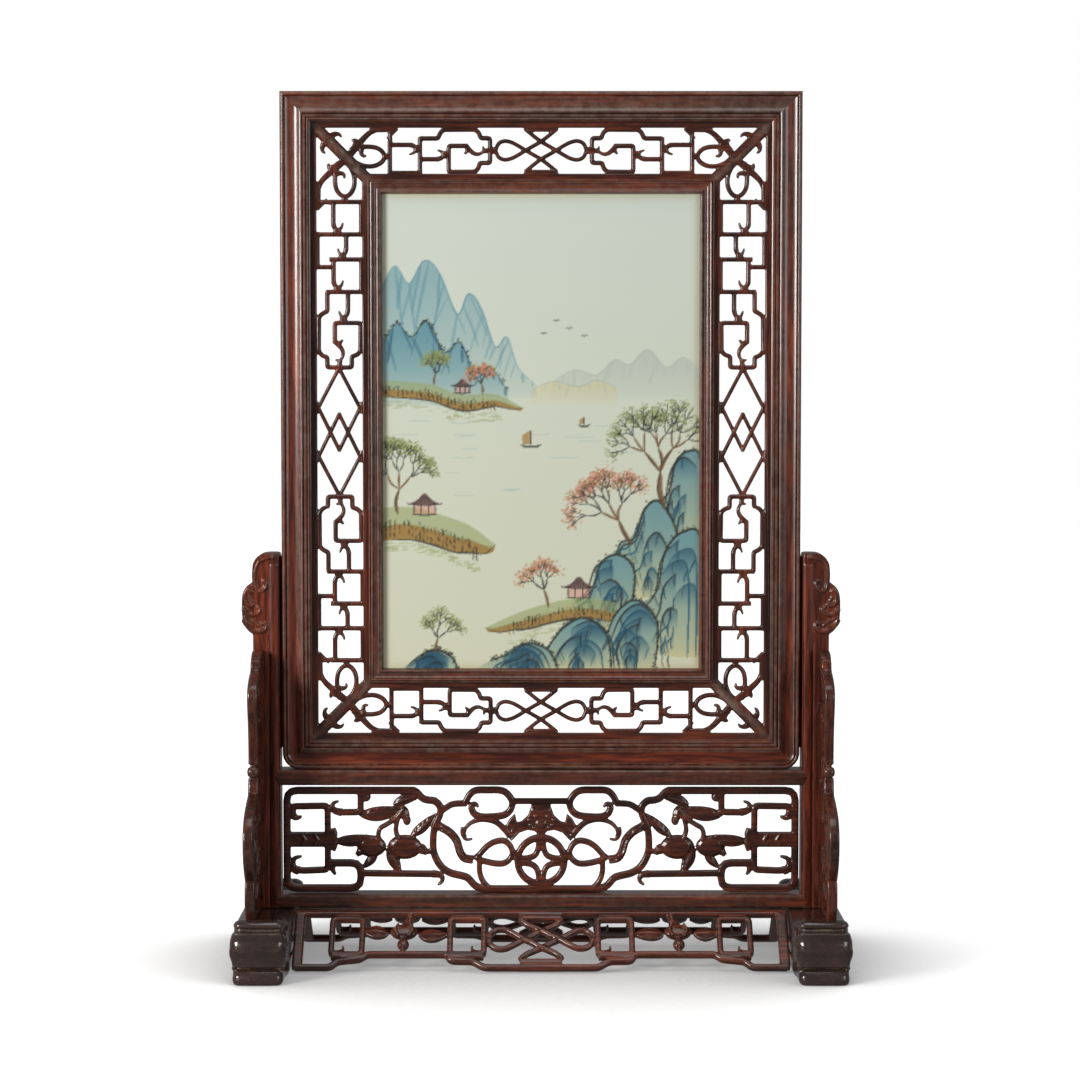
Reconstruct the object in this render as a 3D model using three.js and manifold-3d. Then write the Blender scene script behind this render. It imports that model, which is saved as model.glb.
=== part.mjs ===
// Table screen: a painted porcelain plaque in an openwork frame, upright in a carved stand.
// Millimetres, +Z up, +Y towards the back. The origin is on the table, under the middle of the stand.
import * as THREE from 'three';
import { mergeVertices } from 'three/addons/utils/BufferGeometryUtils.js';
import { ConvexGeometry } from 'three/addons/geometries/ConvexGeometry.js';
import Module from 'manifold-3d';

const wasm = await Module();
wasm.setup();

// Screen: overall size, then the widths from the outer edge inwards
const SCREEN_WIDTH = 410;
const SCREEN_HEIGHT = 534;
const OUTER_MEMBER = 23.5;
const FRET_EDGE = 4.5;
const FRET_BAND = 36;
const INNER_MEMBER = 11.5;

// Screen: depths, and what its pieces bite into each other
const OUTER_DEPTH = 20;
const INNER_DEPTH = 16;
const FRET_DEPTH = 6;
const UNDERPASS_DEPTH = 3.6;
const PLAQUE_DEPTH = 6;
const TONGUE = 2.2;
const PLAQUE_BITE = 3.5;
const SCREEN_FOOT_RADIUS = 13;

// Fretwork: bar widths, and the runs of its figures along a strip
const FRET_BAR = 3.2;
const FRET_STEM = 9.2;
const CORNER_RUN = 58;
const KEY_RUN = 24;
const LINK_RUN = 18.5;
const CARTOUCHE_RUN = 56;
const KNOT_HALF = 40;
const DIAMOND_HALF = 51;

// Stand: rails, posts and what stands between them
const RAIL_DEPTH = 26;
const RAIL_ROUNDING = 2.5;
const LOWER_RAIL = 10.5;
const UPPER_RAIL = 12.2;
const PANEL_OPENING = 87.5;
const PANEL_DEPTH = 8;
const PANEL_BAR = 5.4;
const PANEL_THIN_BAR = 4.2;
const POST_WIDTH = 21;
const POST_DEPTH = 26;
const POST_HEIGHT = 282.5;
const POST_ROUNDING = 2;
const EAR_REACH = 8.7;
const EAR_TOP_DROP = 24;
const EAR_HEIGHT = 39;
const RELIEF = 1.2;

// Stand: spandrels, aprons and feet
const SPANDREL_BOARD = 8;
const SPANDREL_HEIGHT = 205;
const SPANDREL_REACH = 92;
const SPANDREL_ROUNDING = 1.6;
const APRON_DEPTH = 5;
const APRON_SLANT = 61.5;
const APRON_LEAN = 51.3;
const APRON_BAR = 4.4;
const APRON_UNDERPASS = 3;
const FOOT_LENGTH = 216;
const FOOT_WIDTH = 42;
const FOOT_TOP = 42.2;
const FOOT_BASE = 13.6;
const FOOT_INNER_REACH = 21.8;
const FOOT_OUTER_REACH = 15.5;
const FOOT_SET_IN = 0.5;
const DRUM_RADIUS = 15;
const DRUM_WIDTH = 44.3;
const ROLL_RADIUS = 8;
const ROLL_WIDTH = 39;
const ROLL_RISE = 6;

// Joints and clearances
const FIT = 0.3;
const SCREEN_PLAY = 1.5;
const MITRE_TIP = 8;
const TENON_DEPTH = 8;
const TENON_REACH = 14;
const TENON_SHOULDER = 2;
const POST_TENON = 18;
const POST_TENON_WIDTH = 10;
const POST_TENON_DEPTH = 14;
const SLIDE_TONGUE = 4;
const SLIDE_TONGUE_DEPTH = 7;

// Heights and places that follow from the sizes above
const STAND_BASE = FOOT_TOP + FIT;
const PANEL_BASE = STAND_BASE + LOWER_RAIL;
const UPPER_RAIL_BASE = PANEL_BASE + PANEL_OPENING;
const SCREEN_BASE = UPPER_RAIL_BASE + UPPER_RAIL + FIT;
const SCREEN_MIDDLE = SCREEN_BASE + SCREEN_HEIGHT / 2;
const POST_INNER = SCREEN_WIDTH / 2 + SCREEN_PLAY;
const POST_OUTER = POST_INNER + POST_WIDTH;
const POST_TOP = STAND_BASE + POST_HEIGHT;
const FOOT_CENTRE = POST_INNER + POST_WIDTH / 2 - FOOT_SET_IN;
const BAND_START = OUTER_MEMBER + FRET_EDGE;
const INNER_START = BAND_START + FRET_BAND + FRET_EDGE;
const SIGHT_START = INNER_START + INNER_MEMBER;
const MITRE_BACK = FIT / Math.SQRT2;

// Faces that lie within this of one plane are made one, and so are the parts of an outline
const FLATNESS = 0.15;
const EVENNESS = 0.4;

const rosewood = new THREE.MeshStandardMaterial({ color: 0x4a211b, roughness: 0.4, metalness: 0 });
const darkwood = new THREE.MeshStandardMaterial({ color: 0x33201c, roughness: 0.35, metalness: 0 });
const porcelain = new THREE.MeshStandardMaterial({ color: 0xd3dcd2, roughness: 0.15, metalness: 0 });

// Solids

function solidOf(geometry) {
  geometry.deleteAttribute('normal');
  geometry.deleteAttribute('uv');
  const merged = mergeVertices(geometry, 1e-4);
  return new wasm.Manifold(new wasm.Mesh({
    numProp: 3,
    vertProperties: new Float32Array(merged.attributes.position.array),
    triVerts: new Uint32Array(merged.index.array),
  }));
}

// A closed shell from its corners and faces, turned so that the faces point out
function shell(corners, faces) {
  let volume = 0;
  const [a, b, c] = [new THREE.Vector3(), new THREE.Vector3(), new THREE.Vector3()];
  for (const [i, j, k] of faces) {
    volume += a.fromArray(corners[i]).dot(b.fromArray(corners[j]).cross(c.fromArray(corners[k])));
  }
  const outward = volume > 0 ? faces : faces.map(([i, j, k]) => [i, k, j]);
  const geometry = new THREE.BufferGeometry();
  geometry.setAttribute('position', new THREE.Float32BufferAttribute(corners.flat(), 3));
  geometry.setIndex(outward.flat());
  return solidOf(geometry);
}

function join(solids) {
  return solids.reduce((sum, next) => sum.add(next));
}

function node(name, solid, material) {
  const { vertProperties, triVerts } = solid.asOriginal().simplify(FLATNESS).getMesh();
  const geometry = new THREE.BufferGeometry();
  geometry.setAttribute('position', new THREE.BufferAttribute(vertProperties, 3));
  geometry.setIndex(new THREE.BufferAttribute(triVerts, 1));
  geometry.computeVertexNormals();
  const mesh = new THREE.Mesh(geometry, material);
  mesh.name = name;
  return mesh;
}

function box(x0, x1, y0, y1, z0, z1) {
  const geometry = new THREE.BoxGeometry(x1 - x0, y1 - y0, z1 - z0);
  return solidOf(geometry.translate((x0 + x1) / 2, (y0 + y1) / 2, (z0 + z1) / 2));
}

// A flat piece of one or more outlines that overlap. It stands in X and Z with its depth along Y,
// or with a turn of 90 in Y and Z with its depth along X; offset is the place of its middle plane.
function board(outlines, depth, { offset = 0, turn = 0 } = {}) {
  const sections = outlines.map((outline) => new wasm.CrossSection([outline], 'NonZero'));
  const plate = wasm.CrossSection.union(sections).simplify(EVENNESS).extrude(depth, 0, 0, [1, 1], true);
  return plate.rotate([90, 0, turn]).translate(turn ? [offset, 0, 0] : [0, offset, 0]);
}

// The outline of a bar of even width that follows a path
function bar(path, width) {
  const points = path.map(([x, z]) => new THREE.Vector2(x, z));
  const [left, right] = [[], []];
  points.forEach((point, i) => {
    const before = points[Math.max(i - 1, 0)];
    const after = points[Math.min(i + 1, points.length - 1)];
    const arriving = point.clone().sub(before).normalize();
    const leaving = after.clone().sub(point).normalize();
    const along = arriving.clone().add(leaving).normalize();
    const spread = width / 2 / Math.max(0.6, along.dot(arriving), along.dot(leaving));
    const side = new THREE.Vector2(-along.y, along.x).multiplyScalar(spread);
    left.push([point.x + side.x, point.y + side.y]);
    right.push([point.x - side.x, point.y - side.y]);
  });
  return [...left, ...right.reverse()];
}

function arc(cx, cy, rx, ry, from, to, steps) {
  return Array.from({ length: steps + 1 }, (unused, i) => {
    const angle = THREE.MathUtils.degToRad(from + (to - from) * i / steps);
    return [cx + rx * Math.cos(angle), cy + ry * Math.sin(angle)];
  });
}

// An even number of places round an ellipse, without the last that would meet the first
function ellipse(cx, cy, rx, ry, count) {
  return arc(cx, cy, rx, ry, 0, 360, count).slice(0, -1);
}

function curve(points, steps) {
  const spline = new THREE.SplineCurve(points.map(([x, y]) => new THREE.Vector2(x, y)));
  return spline.getPoints(steps).map(({ x, y }) => [x, y]);
}

// A path with its corners cut back
function eased(points, cut) {
  return points.flatMap((point, i) => {
    if (i === 0 || i === points.length - 1) {
      return [point];
    }
    const here = new THREE.Vector2(...point);
    return [points[i - 1], points[i + 1]].map((other) => {
      const away = new THREE.Vector2(...other).sub(here);
      return here.clone().add(away.setLength(Math.min(cut, away.length() / 2))).toArray();
    });
  });
}

// A carved leaf: a pointed lozenge with a ridge on both faces
function leaf(stalk, tip, width, depth) {
  const [a, b] = [new THREE.Vector2(...stalk), new THREE.Vector2(...tip)];
  const across = b.clone().sub(a).rotateAround(new THREE.Vector2(), Math.PI / 2).setLength(width / 2);
  const spots = [[0, 0, 0], [0.45, 1, 0], [0.45, -1, 0], [0.4, 0, 1], [0.4, 0, -1], [1, 0, 0]];
  return solidOf(new ConvexGeometry(spots.map(([share, side, face]) => {
    const spot = a.clone().lerp(b, share).addScaledVector(across, side);
    return new THREE.Vector3(spot.x, face * depth / 2, spot.y);
  })));
}

// A carved fruit or boss, fullest at its middle
function fruit([x, z], halfWidth, halfHeight, depth) {
  const rim = ellipse(x, z, halfWidth, halfHeight, 7).map(([px, pz]) => new THREE.Vector3(px, 0, pz));
  const crowns = [-1, 1].flatMap((face) => ellipse(x, z, halfWidth / 2, halfHeight / 2, 3)
    .map(([px, pz]) => new THREE.Vector3(px, face * depth / 2, pz)));
  return solidOf(new ConvexGeometry([...rim, ...crowns]));
}

// Screen frame

// The four sides of the screen: a place u along the side from its middle, v in from the outer edge
const sides = [
  ['top', SCREEN_WIDTH / 2, (u, v) => [u, SCREEN_MIDDLE + SCREEN_HEIGHT / 2 - v]],
  ['bottom', SCREEN_WIDTH / 2, (u, v) => [u, SCREEN_MIDDLE - SCREEN_HEIGHT / 2 + v]],
  ['left', SCREEN_HEIGHT / 2, (u, v) => [v - SCREEN_WIDTH / 2, SCREEN_MIDDLE + u]],
  ['right', SCREEN_HEIGHT / 2, (u, v) => [SCREEN_WIDTH / 2 - v, SCREEN_MIDDLE + u]],
].map(([name, half, at]) => ({ name, half, at }));

// A frame member with mitred ends; the profile gives v and y round the section
function mitredMember(side, start, profile) {
  const corners = [];
  for (const end of [-1, 1]) {
    for (const [v, y] of profile) {
      const [x, z] = side.at(end * (side.half - start - v - MITRE_BACK), start + v);
      corners.push([x, y, z]);
    }
  }
  const count = profile.length;
  const contour = profile.map(([v, y]) => new THREE.Vector2(v, y));
  const cap = THREE.ShapeUtils.triangulateShape(contour, []);
  const turned = THREE.ShapeUtils.isClockWise(contour);
  const faces = [];
  for (const [i, j, k] of cap) {
    faces.push(turned ? [i, j, k] : [i, k, j]);
    faces.push(turned ? [i + count, k + count, j + count] : [i + count, j + count, k + count]);
  }
  for (let i = 0; i < count; i += 1) {
    const next = (i + 1) % count;
    const quad = [[i, next, next + count], [i, next + count, i + count]];
    faces.push(...(turned ? quad.map(([a, b, c]) => [a, c, b]) : quad));
  }
  return shell(corners, faces);
}

// A groove in the profile's edge at v, cut towards smaller v (way -1) or larger v (way 1)
function groove(v, depth, halfOpening, way) {
  const floor = v + way * depth;
  return [[v, -halfOpening], [floor, -halfOpening], [floor, halfOpening], [v, halfOpening]];
}

function outerProfile() {
  const front = -OUTER_DEPTH / 2;
  const bead = 3.6;
  const coveStart = bead + 1.2;
  const reedStart = OUTER_MEMBER - 4.6;
  const cove = arc((coveStart + reedStart) / 2, front + 1, (reedStart - coveStart) / 2, 2.6, 180, 0, 5);
  return [
    [0, front + 3.2], [0.9, front + 0.7], [bead / 2, front], [bead - 0.7, front + 0.6], [bead, front + 1.8],
    ...cove,
    [reedStart + 0.9, front], [reedStart + 2, front + 0.9], [reedStart + 3, front + 0.4],
    [OUTER_MEMBER, front + 2.4],
    ...groove(OUTER_MEMBER, TONGUE + FIT, FRET_DEPTH / 2 + FIT / 2, -1),
    [OUTER_MEMBER, -front - 1.5], [OUTER_MEMBER - 1.5, -front], [1.5, -front], [0, -front - 1.5],
  ];
}

function innerProfile() {
  const front = -INNER_DEPTH / 2;
  const lip = INNER_MEMBER - 2.4;
  return [
    ...groove(0, TONGUE + FIT, FRET_DEPTH / 2 + FIT / 2, 1).reverse(),
    [0, front + 2], [1, front], [2.2, front], [2.8, front + 1],
    ...arc((2.8 + lip) / 2, front + 1.2, (lip - 2.8) / 2, 1.6, 160, 20, 2),
    [lip + 0.4, front + 0.5], [lip + 1.6, front + 0.9], [INNER_MEMBER, front + 3],
    ...groove(INNER_MEMBER, PLAQUE_BITE + FIT, PLAQUE_DEPTH / 2 + FIT / 2, -1),
    [INNER_MEMBER, -front - 1.5], [INNER_MEMBER - 1.5, -front], [1.5, -front], [0, -front - 1.5],
  ];
}

// The outline of the whole screen, its lower corners rounded where it meets the stand
function screenOutline() {
  const right = SCREEN_WIDTH / 2;
  const top = SCREEN_BASE + SCREEN_HEIGHT;
  const r = SCREEN_FOOT_RADIUS;
  return [
    [-right, top],
    ...arc(r - right, SCREEN_BASE + r, r, r, 180, 270, 4),
    ...arc(right - r, SCREEN_BASE + r, r, r, 270, 360, 4),
    [right, top],
  ];
}

function outerMember(side) {
  const member = mitredMember(side, 0, outerProfile());
  if (side.name === 'top') {
    return member;
  }
  const rounded = member.intersect(board([screenOutline()], OUTER_DEPTH * 2));
  if (side.name === 'bottom') {
    return rounded;
  }
  const hand = side.name === 'left' ? -1 : 1;
  const edge = SCREEN_WIDTH / 2;
  const floor = edge - (SLIDE_TONGUE - SCREEN_PLAY) - FIT;
  const halfSlot = SLIDE_TONGUE_DEPTH / 2 + FIT;
  const xs = [hand * floor, hand * (edge + 1)].sort((a, b) => a - b);
  return rounded.subtract(box(...xs, -halfSlot, halfSlot, SCREEN_BASE - 1, POST_TOP + FIT));
}

// Fretwork

// Levels across the band, from its outer edge to its inner edge
const LEVEL_OUTER = FRET_BAND * 0.23;
const LEVEL_KEY = FRET_BAND * 0.38;
const LEVEL_MIDDLE = FRET_BAND * 0.65;
const LEVEL_INNER = FRET_BAND * 0.77;
const OUTER_BRIDGE = FRET_BAR * 0.4;
const INNER_BRIDGE = FRET_BAND - FRET_BAR * 0.4;
const HOOK_DROP = FRET_BAND * 0.15;

// Corner figure: half of the thick stem on the mitre, a ring, and a branch to the outer edge
function cornerFigure(draw) {
  const q = FRET_BAND / 36;
  const scaled = (points) => points.map(([s, v]) => [s * q, v * q]);
  draw(scaled([[-4, -4], [40, 40]]), FRET_STEM);
  draw(scaled([...arc(41.3, 21.2, 13.2, 8, 135, -135, 5), [36, 20.5]]), FRET_BAR);
  draw(scaled([[26, 20], [34, 10], [47, 1.3], [60, 1.3]]), FRET_BAR);
  draw([[54 * q, 21.2 * q], [CORNER_RUN, 21.2 * q]], FRET_BAR);
}

// Square key: an arm that turns twice and is tied to the cross bar behind it, which reaches up to top
function keyFigure(draw, s, run, top) {
  const turn = s + run * 0.74;
  const tie = LEVEL_KEY + HOOK_DROP;
  draw([[s, FRET_BAND + 0.5], [s, LEVEL_KEY], [turn, LEVEL_KEY], [turn, tie], [s + run, tie]], FRET_BAR);
  draw([[s + run, top], [s + run, FRET_BAND + 0.5]], FRET_BAR);
}

// Link between two keys: a hooked arm, and a bridge from the outer edge
function linkFigure(draw, s, run) {
  const turn = s + run * 0.66;
  const tie = LEVEL_MIDDLE - HOOK_DROP;
  draw([[s, LEVEL_MIDDLE], [turn, LEVEL_MIDDLE], [turn, tie], [s + run, tie]], FRET_BAR);
  draw([[s + run + 2 * FRET_BAR, -0.5], [s + run + 2 * FRET_BAR, LEVEL_KEY]], FRET_BAR);
}

// Cartouche: a stepped frame that turns inwards and ends in an S, and a second hooked arm
function cartoucheFigure(draw, s, run) {
  const place = (points) => points.map(([share, v]) => [s + share * run, v]);
  const tie = LEVEL_MIDDLE - HOOK_DROP;
  draw(place([[0, LEVEL_OUTER], [0.26, LEVEL_OUTER], [0.32, OUTER_BRIDGE], [0.79, OUTER_BRIDGE],
    [0.85, LEVEL_OUTER], [1, LEVEL_OUTER], [1, LEVEL_INNER], [0.84, LEVEL_INNER], [0.79, INNER_BRIDGE],
    [0.41, INNER_BRIDGE], [0.41, LEVEL_KEY], [0.66, LEVEL_KEY], [0.78, LEVEL_KEY + HOOK_DROP],
    [1, LEVEL_KEY + HOOK_DROP * 0.6]]), FRET_BAR);
  draw(place([[0, LEVEL_MIDDLE], [0.28, LEVEL_MIDDLE], [0.28, tie], [0.41, tie]]), FRET_BAR);
}

// Two long loops that cross at the middle of a band; of each pair of strands one passes under
function knotFigure(draw, centre, reach, band, width, depths) {
  const middle = band / 2;
  const rise = band * 0.22;
  const strand = [[-0.33, middle], [0.33, 0], [0.64, -rise], [0.9, -rise * 0.85], [1, 0]];
  for (const hand of [-1, 1]) {
    for (const way of [-1, 1]) {
      const depth = depths[hand === way ? 0 : 1];
      draw(strand.map(([p, v]) => [centre + hand * p * reach, middle + way * v]), width, depth);
    }
  }
}

// Two long diamonds that interlock
function diamondFigure(draw, centre, half) {
  const middle = FRET_BAND / 2;
  for (const hand of [-1, 1]) {
    const depth = hand < 0 ? FRET_DEPTH : UNDERPASS_DEPTH;
    const [apex, side, foot] = [hand * half, hand * half * 0.37, -hand * half * 0.29];
    for (const edge of [OUTER_BRIDGE, INNER_BRIDGE]) {
      const path = [[centre + apex, middle], [centre + side, edge], [centre + foot, middle]];
      draw(path, FRET_BAR * 0.85, depth);
    }
  }
}

function fretStrip(side) {
  const half = side.half - BAND_START;
  const outlines = new Map([[FRET_DEPTH, []], [UNDERPASS_DEPTH, []]]);
  const drawAt = (hand) => (points, width, depth = FRET_DEPTH) => {
    const path = points.map(([s, v]) => side.at(hand * (half - s), BAND_START + v));
    outlines.get(depth).push(bar(path, width));
  };
  const [outerEdge, innerEdge] = [-FRET_EDGE - TONGUE, FRET_BAND + FRET_EDGE + TONGUE];
  for (const [from, to] of [[outerEdge, 0], [FRET_BAND, innerEdge]]) {
    drawAt(1)([[outerEdge, (from + to) / 2], [2 * half - outerEdge, (from + to) / 2]], to - from);
  }
  const tall = side.half > SCREEN_WIDTH / 2;
  const centreHalf = tall ? DIAMOND_HALF : KNOT_HALF;
  const figures = tall
    ? [[keyFigure, KEY_RUN, -0.5], [linkFigure, LINK_RUN]] : [];
  figures.push([keyFigure, KEY_RUN, LEVEL_OUTER - FRET_BAR / 2], [cartoucheFigure, CARTOUCHE_RUN]);
  const drawnRun = figures.reduce((sum, [, run]) => sum + run, 0);
  const stretch = (half - centreHalf - CORNER_RUN) / drawnRun;
  for (const hand of [-1, 1]) {
    cornerFigure(drawAt(hand));
    let s = CORNER_RUN;
    for (const [figure, run, top] of figures) {
      figure(drawAt(hand), s, run * stretch, top);
      s += run * stretch;
    }
  }
  if (tall) {
    diamondFigure(drawAt(1), half, centreHalf);
  } else {
    knotFigure(drawAt(1), half, centreHalf, FRET_BAND, FRET_BAR, [FRET_DEPTH, UNDERPASS_DEPTH]);
  }
  const ends = [[-1, outerEdge], [1, outerEdge], [1, innerEdge], [-1, innerEdge]].map(([end, v]) => (
    side.at(end * (half - v - MITRE_BACK), BAND_START + v)));
  const boards = [...outlines].map(([depth, drawn]) => board(drawn, depth));
  return join(boards).intersect(board([ends], OUTER_DEPTH));
}

function plaqueSolid() {
  const halfWidth = SCREEN_WIDTH / 2 - SIGHT_START + PLAQUE_BITE;
  const halfHeight = SCREEN_HEIGHT / 2 - SIGHT_START + PLAQUE_BITE;
  return box(-halfWidth, halfWidth, -PLAQUE_DEPTH / 2, PLAQUE_DEPTH / 2,
    SCREEN_MIDDLE - halfHeight, SCREEN_MIDDLE + halfHeight);
}

// Stand: posts and rails

// The face of a rail, pointed where it enters the posts; grow widens it for the notch that takes it
function railFace(base, height, grow) {
  const tip = POST_INNER + MITRE_TIP + grow;
  const shoulder = POST_INNER - FIT;
  const middle = base + height / 2;
  const [low, high] = [base - grow, base + height + grow];
  return [[-tip, middle], [-shoulder, low], [shoulder, low],
    [tip, middle], [shoulder, high], [-shoulder, high]];
}

function railTenon(base, height, grow) {
  const reach = POST_INNER + TENON_REACH + grow;
  const halfDepth = TENON_DEPTH / 2 + grow;
  const [low, high] = [base + TENON_SHOULDER - grow, base + height - TENON_SHOULDER + grow];
  return box(-reach, reach, -halfDepth, halfDepth, low, high);
}

function railSolid(base, height) {
  const r = RAIL_ROUNDING;
  const half = RAIL_DEPTH / 2;
  const section = [[-half, r], [r - half, 0], [half - r, 0], [half, r], [half, height - r],
    [half - r, height], [r - half, height], [-half, height - r]].map(([y, z]) => [y, base + z]);
  const length = 2 * (POST_INNER + TENON_REACH);
  const beam = board([section], length, { turn: 90 });
  const face = board([railFace(base, height, 0)], RAIL_DEPTH * 2);
  return beam.intersect(face).add(railTenon(base, height, 0));
}

// The outline of the ear on the post's outer top corner, for the right hand
function earOutline() {
  const r = POST_WIDTH * 0.43;
  const bulgeTop = POST_TOP - EAR_TOP_DROP;
  const bulgeLow = bulgeTop - EAR_HEIGHT;
  return [
    [POST_INNER + POST_WIDTH * 0.3, POST_TOP],
    ...arc(POST_OUTER - r, POST_TOP - r, r, r, 90, 0, 3),
    [POST_OUTER + 0.6, bulgeTop],
    ...curve([[POST_OUTER + EAR_REACH * 0.45, bulgeTop - EAR_HEIGHT * 0.06],
      [POST_OUTER + EAR_REACH * 0.93, bulgeTop - EAR_HEIGHT * 0.24],
      [POST_OUTER + EAR_REACH, bulgeTop - EAR_HEIGHT * 0.5],
      [POST_OUTER + EAR_REACH * 0.7, bulgeTop - EAR_HEIGHT * 0.88]], 5),
    [POST_OUTER, bulgeLow],
    [POST_INNER + POST_WIDTH * 0.3, bulgeLow],
  ];
}

// Raised scrolls on the front of the ear: one under the top corner, two leaf curls in the bulge
function earScrolls() {
  const bulge = POST_TOP - EAR_TOP_DROP;
  const w = POST_WIDTH;
  const [h, reach] = [EAR_HEIGHT, EAR_REACH];
  const rim = [[w * 0.12 - w, POST_TOP - w * 0.12], [-w * 0.4, POST_TOP - w * 0.12],
    [-w * 0.16, POST_TOP - w / 2], [-w * 0.14, bulge], [-w * 0.32, bulge - w * 0.2], [-w * 0.5, bulge]];
  const upperLeaf = [[reach * 0.4, bulge - h * 0.12], [reach * 0.6, bulge - h * 0.42],
    [-w * 0.12, bulge - h * 0.52], [-w * 0.24, bulge - h * 0.42]];
  const lowerLeaf = [[reach * 0.6, bulge - h * 0.62], [-w * 0.06, bulge - h * 0.92],
    [-w * 0.46, bulge - h * 0.9], [-w * 0.44, bulge - h * 0.74]];
  return [rim, upperLeaf, lowerLeaf].map((scroll) => scroll.map(([x, z]) => [POST_OUTER + x, z]));
}

function mirrored(points, hand) {
  return points.map(([x, z]) => [hand * x, z]);
}

function postSolid(hand) {
  const half = POST_DEPTH / 2;
  const r = POST_ROUNDING;
  const section = mirrored([[POST_INNER, -half + r], [POST_INNER + r, -half], [POST_OUTER, -half],
    [POST_OUTER, half], [POST_INNER + r, half], [POST_INNER, half - r]], hand);
  const shaft = new wasm.CrossSection([section], 'NonZero').extrude(POST_HEIGHT - EAR_TOP_DROP);
  const [crownBase, crownEdge] = [POST_TOP - EAR_TOP_DROP - 1, POST_INNER + POST_WIDTH / 2];
  const crown = [[POST_INNER, crownBase], [POST_INNER, POST_TOP], [crownEdge, POST_TOP],
    [crownEdge, crownBase]];
  const tenonMiddle = POST_INNER + POST_WIDTH / 2;
  const tenonXs = [-1, 1].map((way) => hand * tenonMiddle + way * POST_TENON_WIDTH / 2);
  const tongueXs = [hand * (POST_INNER - SLIDE_TONGUE), hand * (POST_INNER + 1)].sort((a, b) => a - b);
  const tongueHeights = [SCREEN_BASE + SCREEN_FOOT_RADIUS, POST_TOP - r];
  const scrolls = earScrolls().map((scroll) => bar(mirrored(scroll, hand), 2 * RELIEF));
  const solids = [
    shaft.translate([0, 0, STAND_BASE]),
    board([mirrored(crown, hand)], POST_DEPTH - 2 * r),
    board([mirrored(earOutline(), hand)], POST_DEPTH),
    box(...tenonXs, -POST_TENON_DEPTH / 2, POST_TENON_DEPTH / 2, STAND_BASE - POST_TENON, STAND_BASE + 1),
    box(...tongueXs, -SLIDE_TONGUE_DEPTH / 2, SLIDE_TONGUE_DEPTH / 2, ...tongueHeights),
    board(scrolls, 2 * RELIEF, { offset: -half }),
  ];
  let post = join(solids);
  for (const [base, height] of [[STAND_BASE, LOWER_RAIL], [UPPER_RAIL_BASE, UPPER_RAIL]]) {
    post = post.subtract(board([railFace(base, height, FIT)], RAIL_DEPTH * 2));
    post = post.subtract(railTenon(base, height, FIT));
  }
  return post;
}

// Stand: openwork panel

// One half of the panel, in parts of its half width and height: p runs out from its middle, q up from its
// lower edge
function panelHalf(draw, addLeaf, addFruit, [fieldWidth, fieldHeight]) {
  const edge = 2.7;
  const [outer, top] = [fieldWidth - edge, fieldHeight - edge];
  const thin = PANEL_THIN_BAR;

  // Side cell: its frame, two hooked arms, and a thick block with a knob
  draw(eased([[164, 23.4], [144, 23.4], [144, edge], [outer, edge], [outer, top], [100, top]], 7));
  draw([[192, 58.5], [197, 62], [197, 69], [170.5, 69], [170.5, 17], [197, 17], [197, 24], [192, 27.5]],
    thin);
  draw([[166, 64.5], [143.6, 64.5], [143.6, top]], thin);
  draw([[outer, 42.6], [166, 42.6]], PANEL_BAR * 2.3);

  // Spray of leaves with two fruits
  addLeaf([172, 40], [129, 47.5], 12);
  addLeaf([148, 62], [108, 69], 13);
  addLeaf([124, 68], [92, 79], 11);
  addLeaf([110, 72], [106, 50], 9);
  addLeaf([102, 43], [83, 65], 10);
  addLeaf([125, 36], [107, 12], 10);
  addLeaf([128, 30], [143, 18], 8);
  draw([[109.9, 68], [130, 50], [131, 42]], thin);
  draw([[94, 40], [84, 44]], thin);
  addFruit([133.5, 36.8], 12.5, 9.6);
  addFruit([107.5, 36], 15, 9.6);
  draw([[144, 15.4], [77, 15.4], [81.5, 7]], thin);

  // Long S of the centre figure, running into the lower edge
  const longS = [[103, top], [83.5, 74], [80.4, 65], [86.4, 50], [84, 29.4], [73.9, 16.5], [60, 11.5],
    [50, edge]];
  draw([...curve(longS, 8), [0, edge]]);
  draw([[80, 62], [76, 69], [60, 72]], thin);

  // Top lobe and the bar to the middle
  draw([[61.4, 73.1], [55, top], [30, top], [23.8, 75], [29.7, 63.5], [49.6, 61.7], [55.5, 68.6]]);
  draw([[24, 73.7], [0, 73.7]]);
  draw([[54.5, 64], [50, 58]], thin);

  // Volute, ribbon with its ball, loop and lower stem
  draw(curve([[25, 42.5], [36.3, 56.8], [47.4, 59.2], [57, 55.6], [63.2, 44.9], [56, 42]], 6), thin);
  draw(curve([[81, 55.5], [68.7, 43.5], [64.4, 30.1], [50, 27]], 3));
  draw(curve([[50, 28.5], [43.7, 36.8], [33, 42], [22.5, 31.6], [31.2, 23.1], [49, 25.5]], 6), thin);
  draw([[47.5, 26], [49.7, 15.3], [42, edge]], thin);
  draw([[83, 47], [64, 40]], thin);
}

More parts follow.
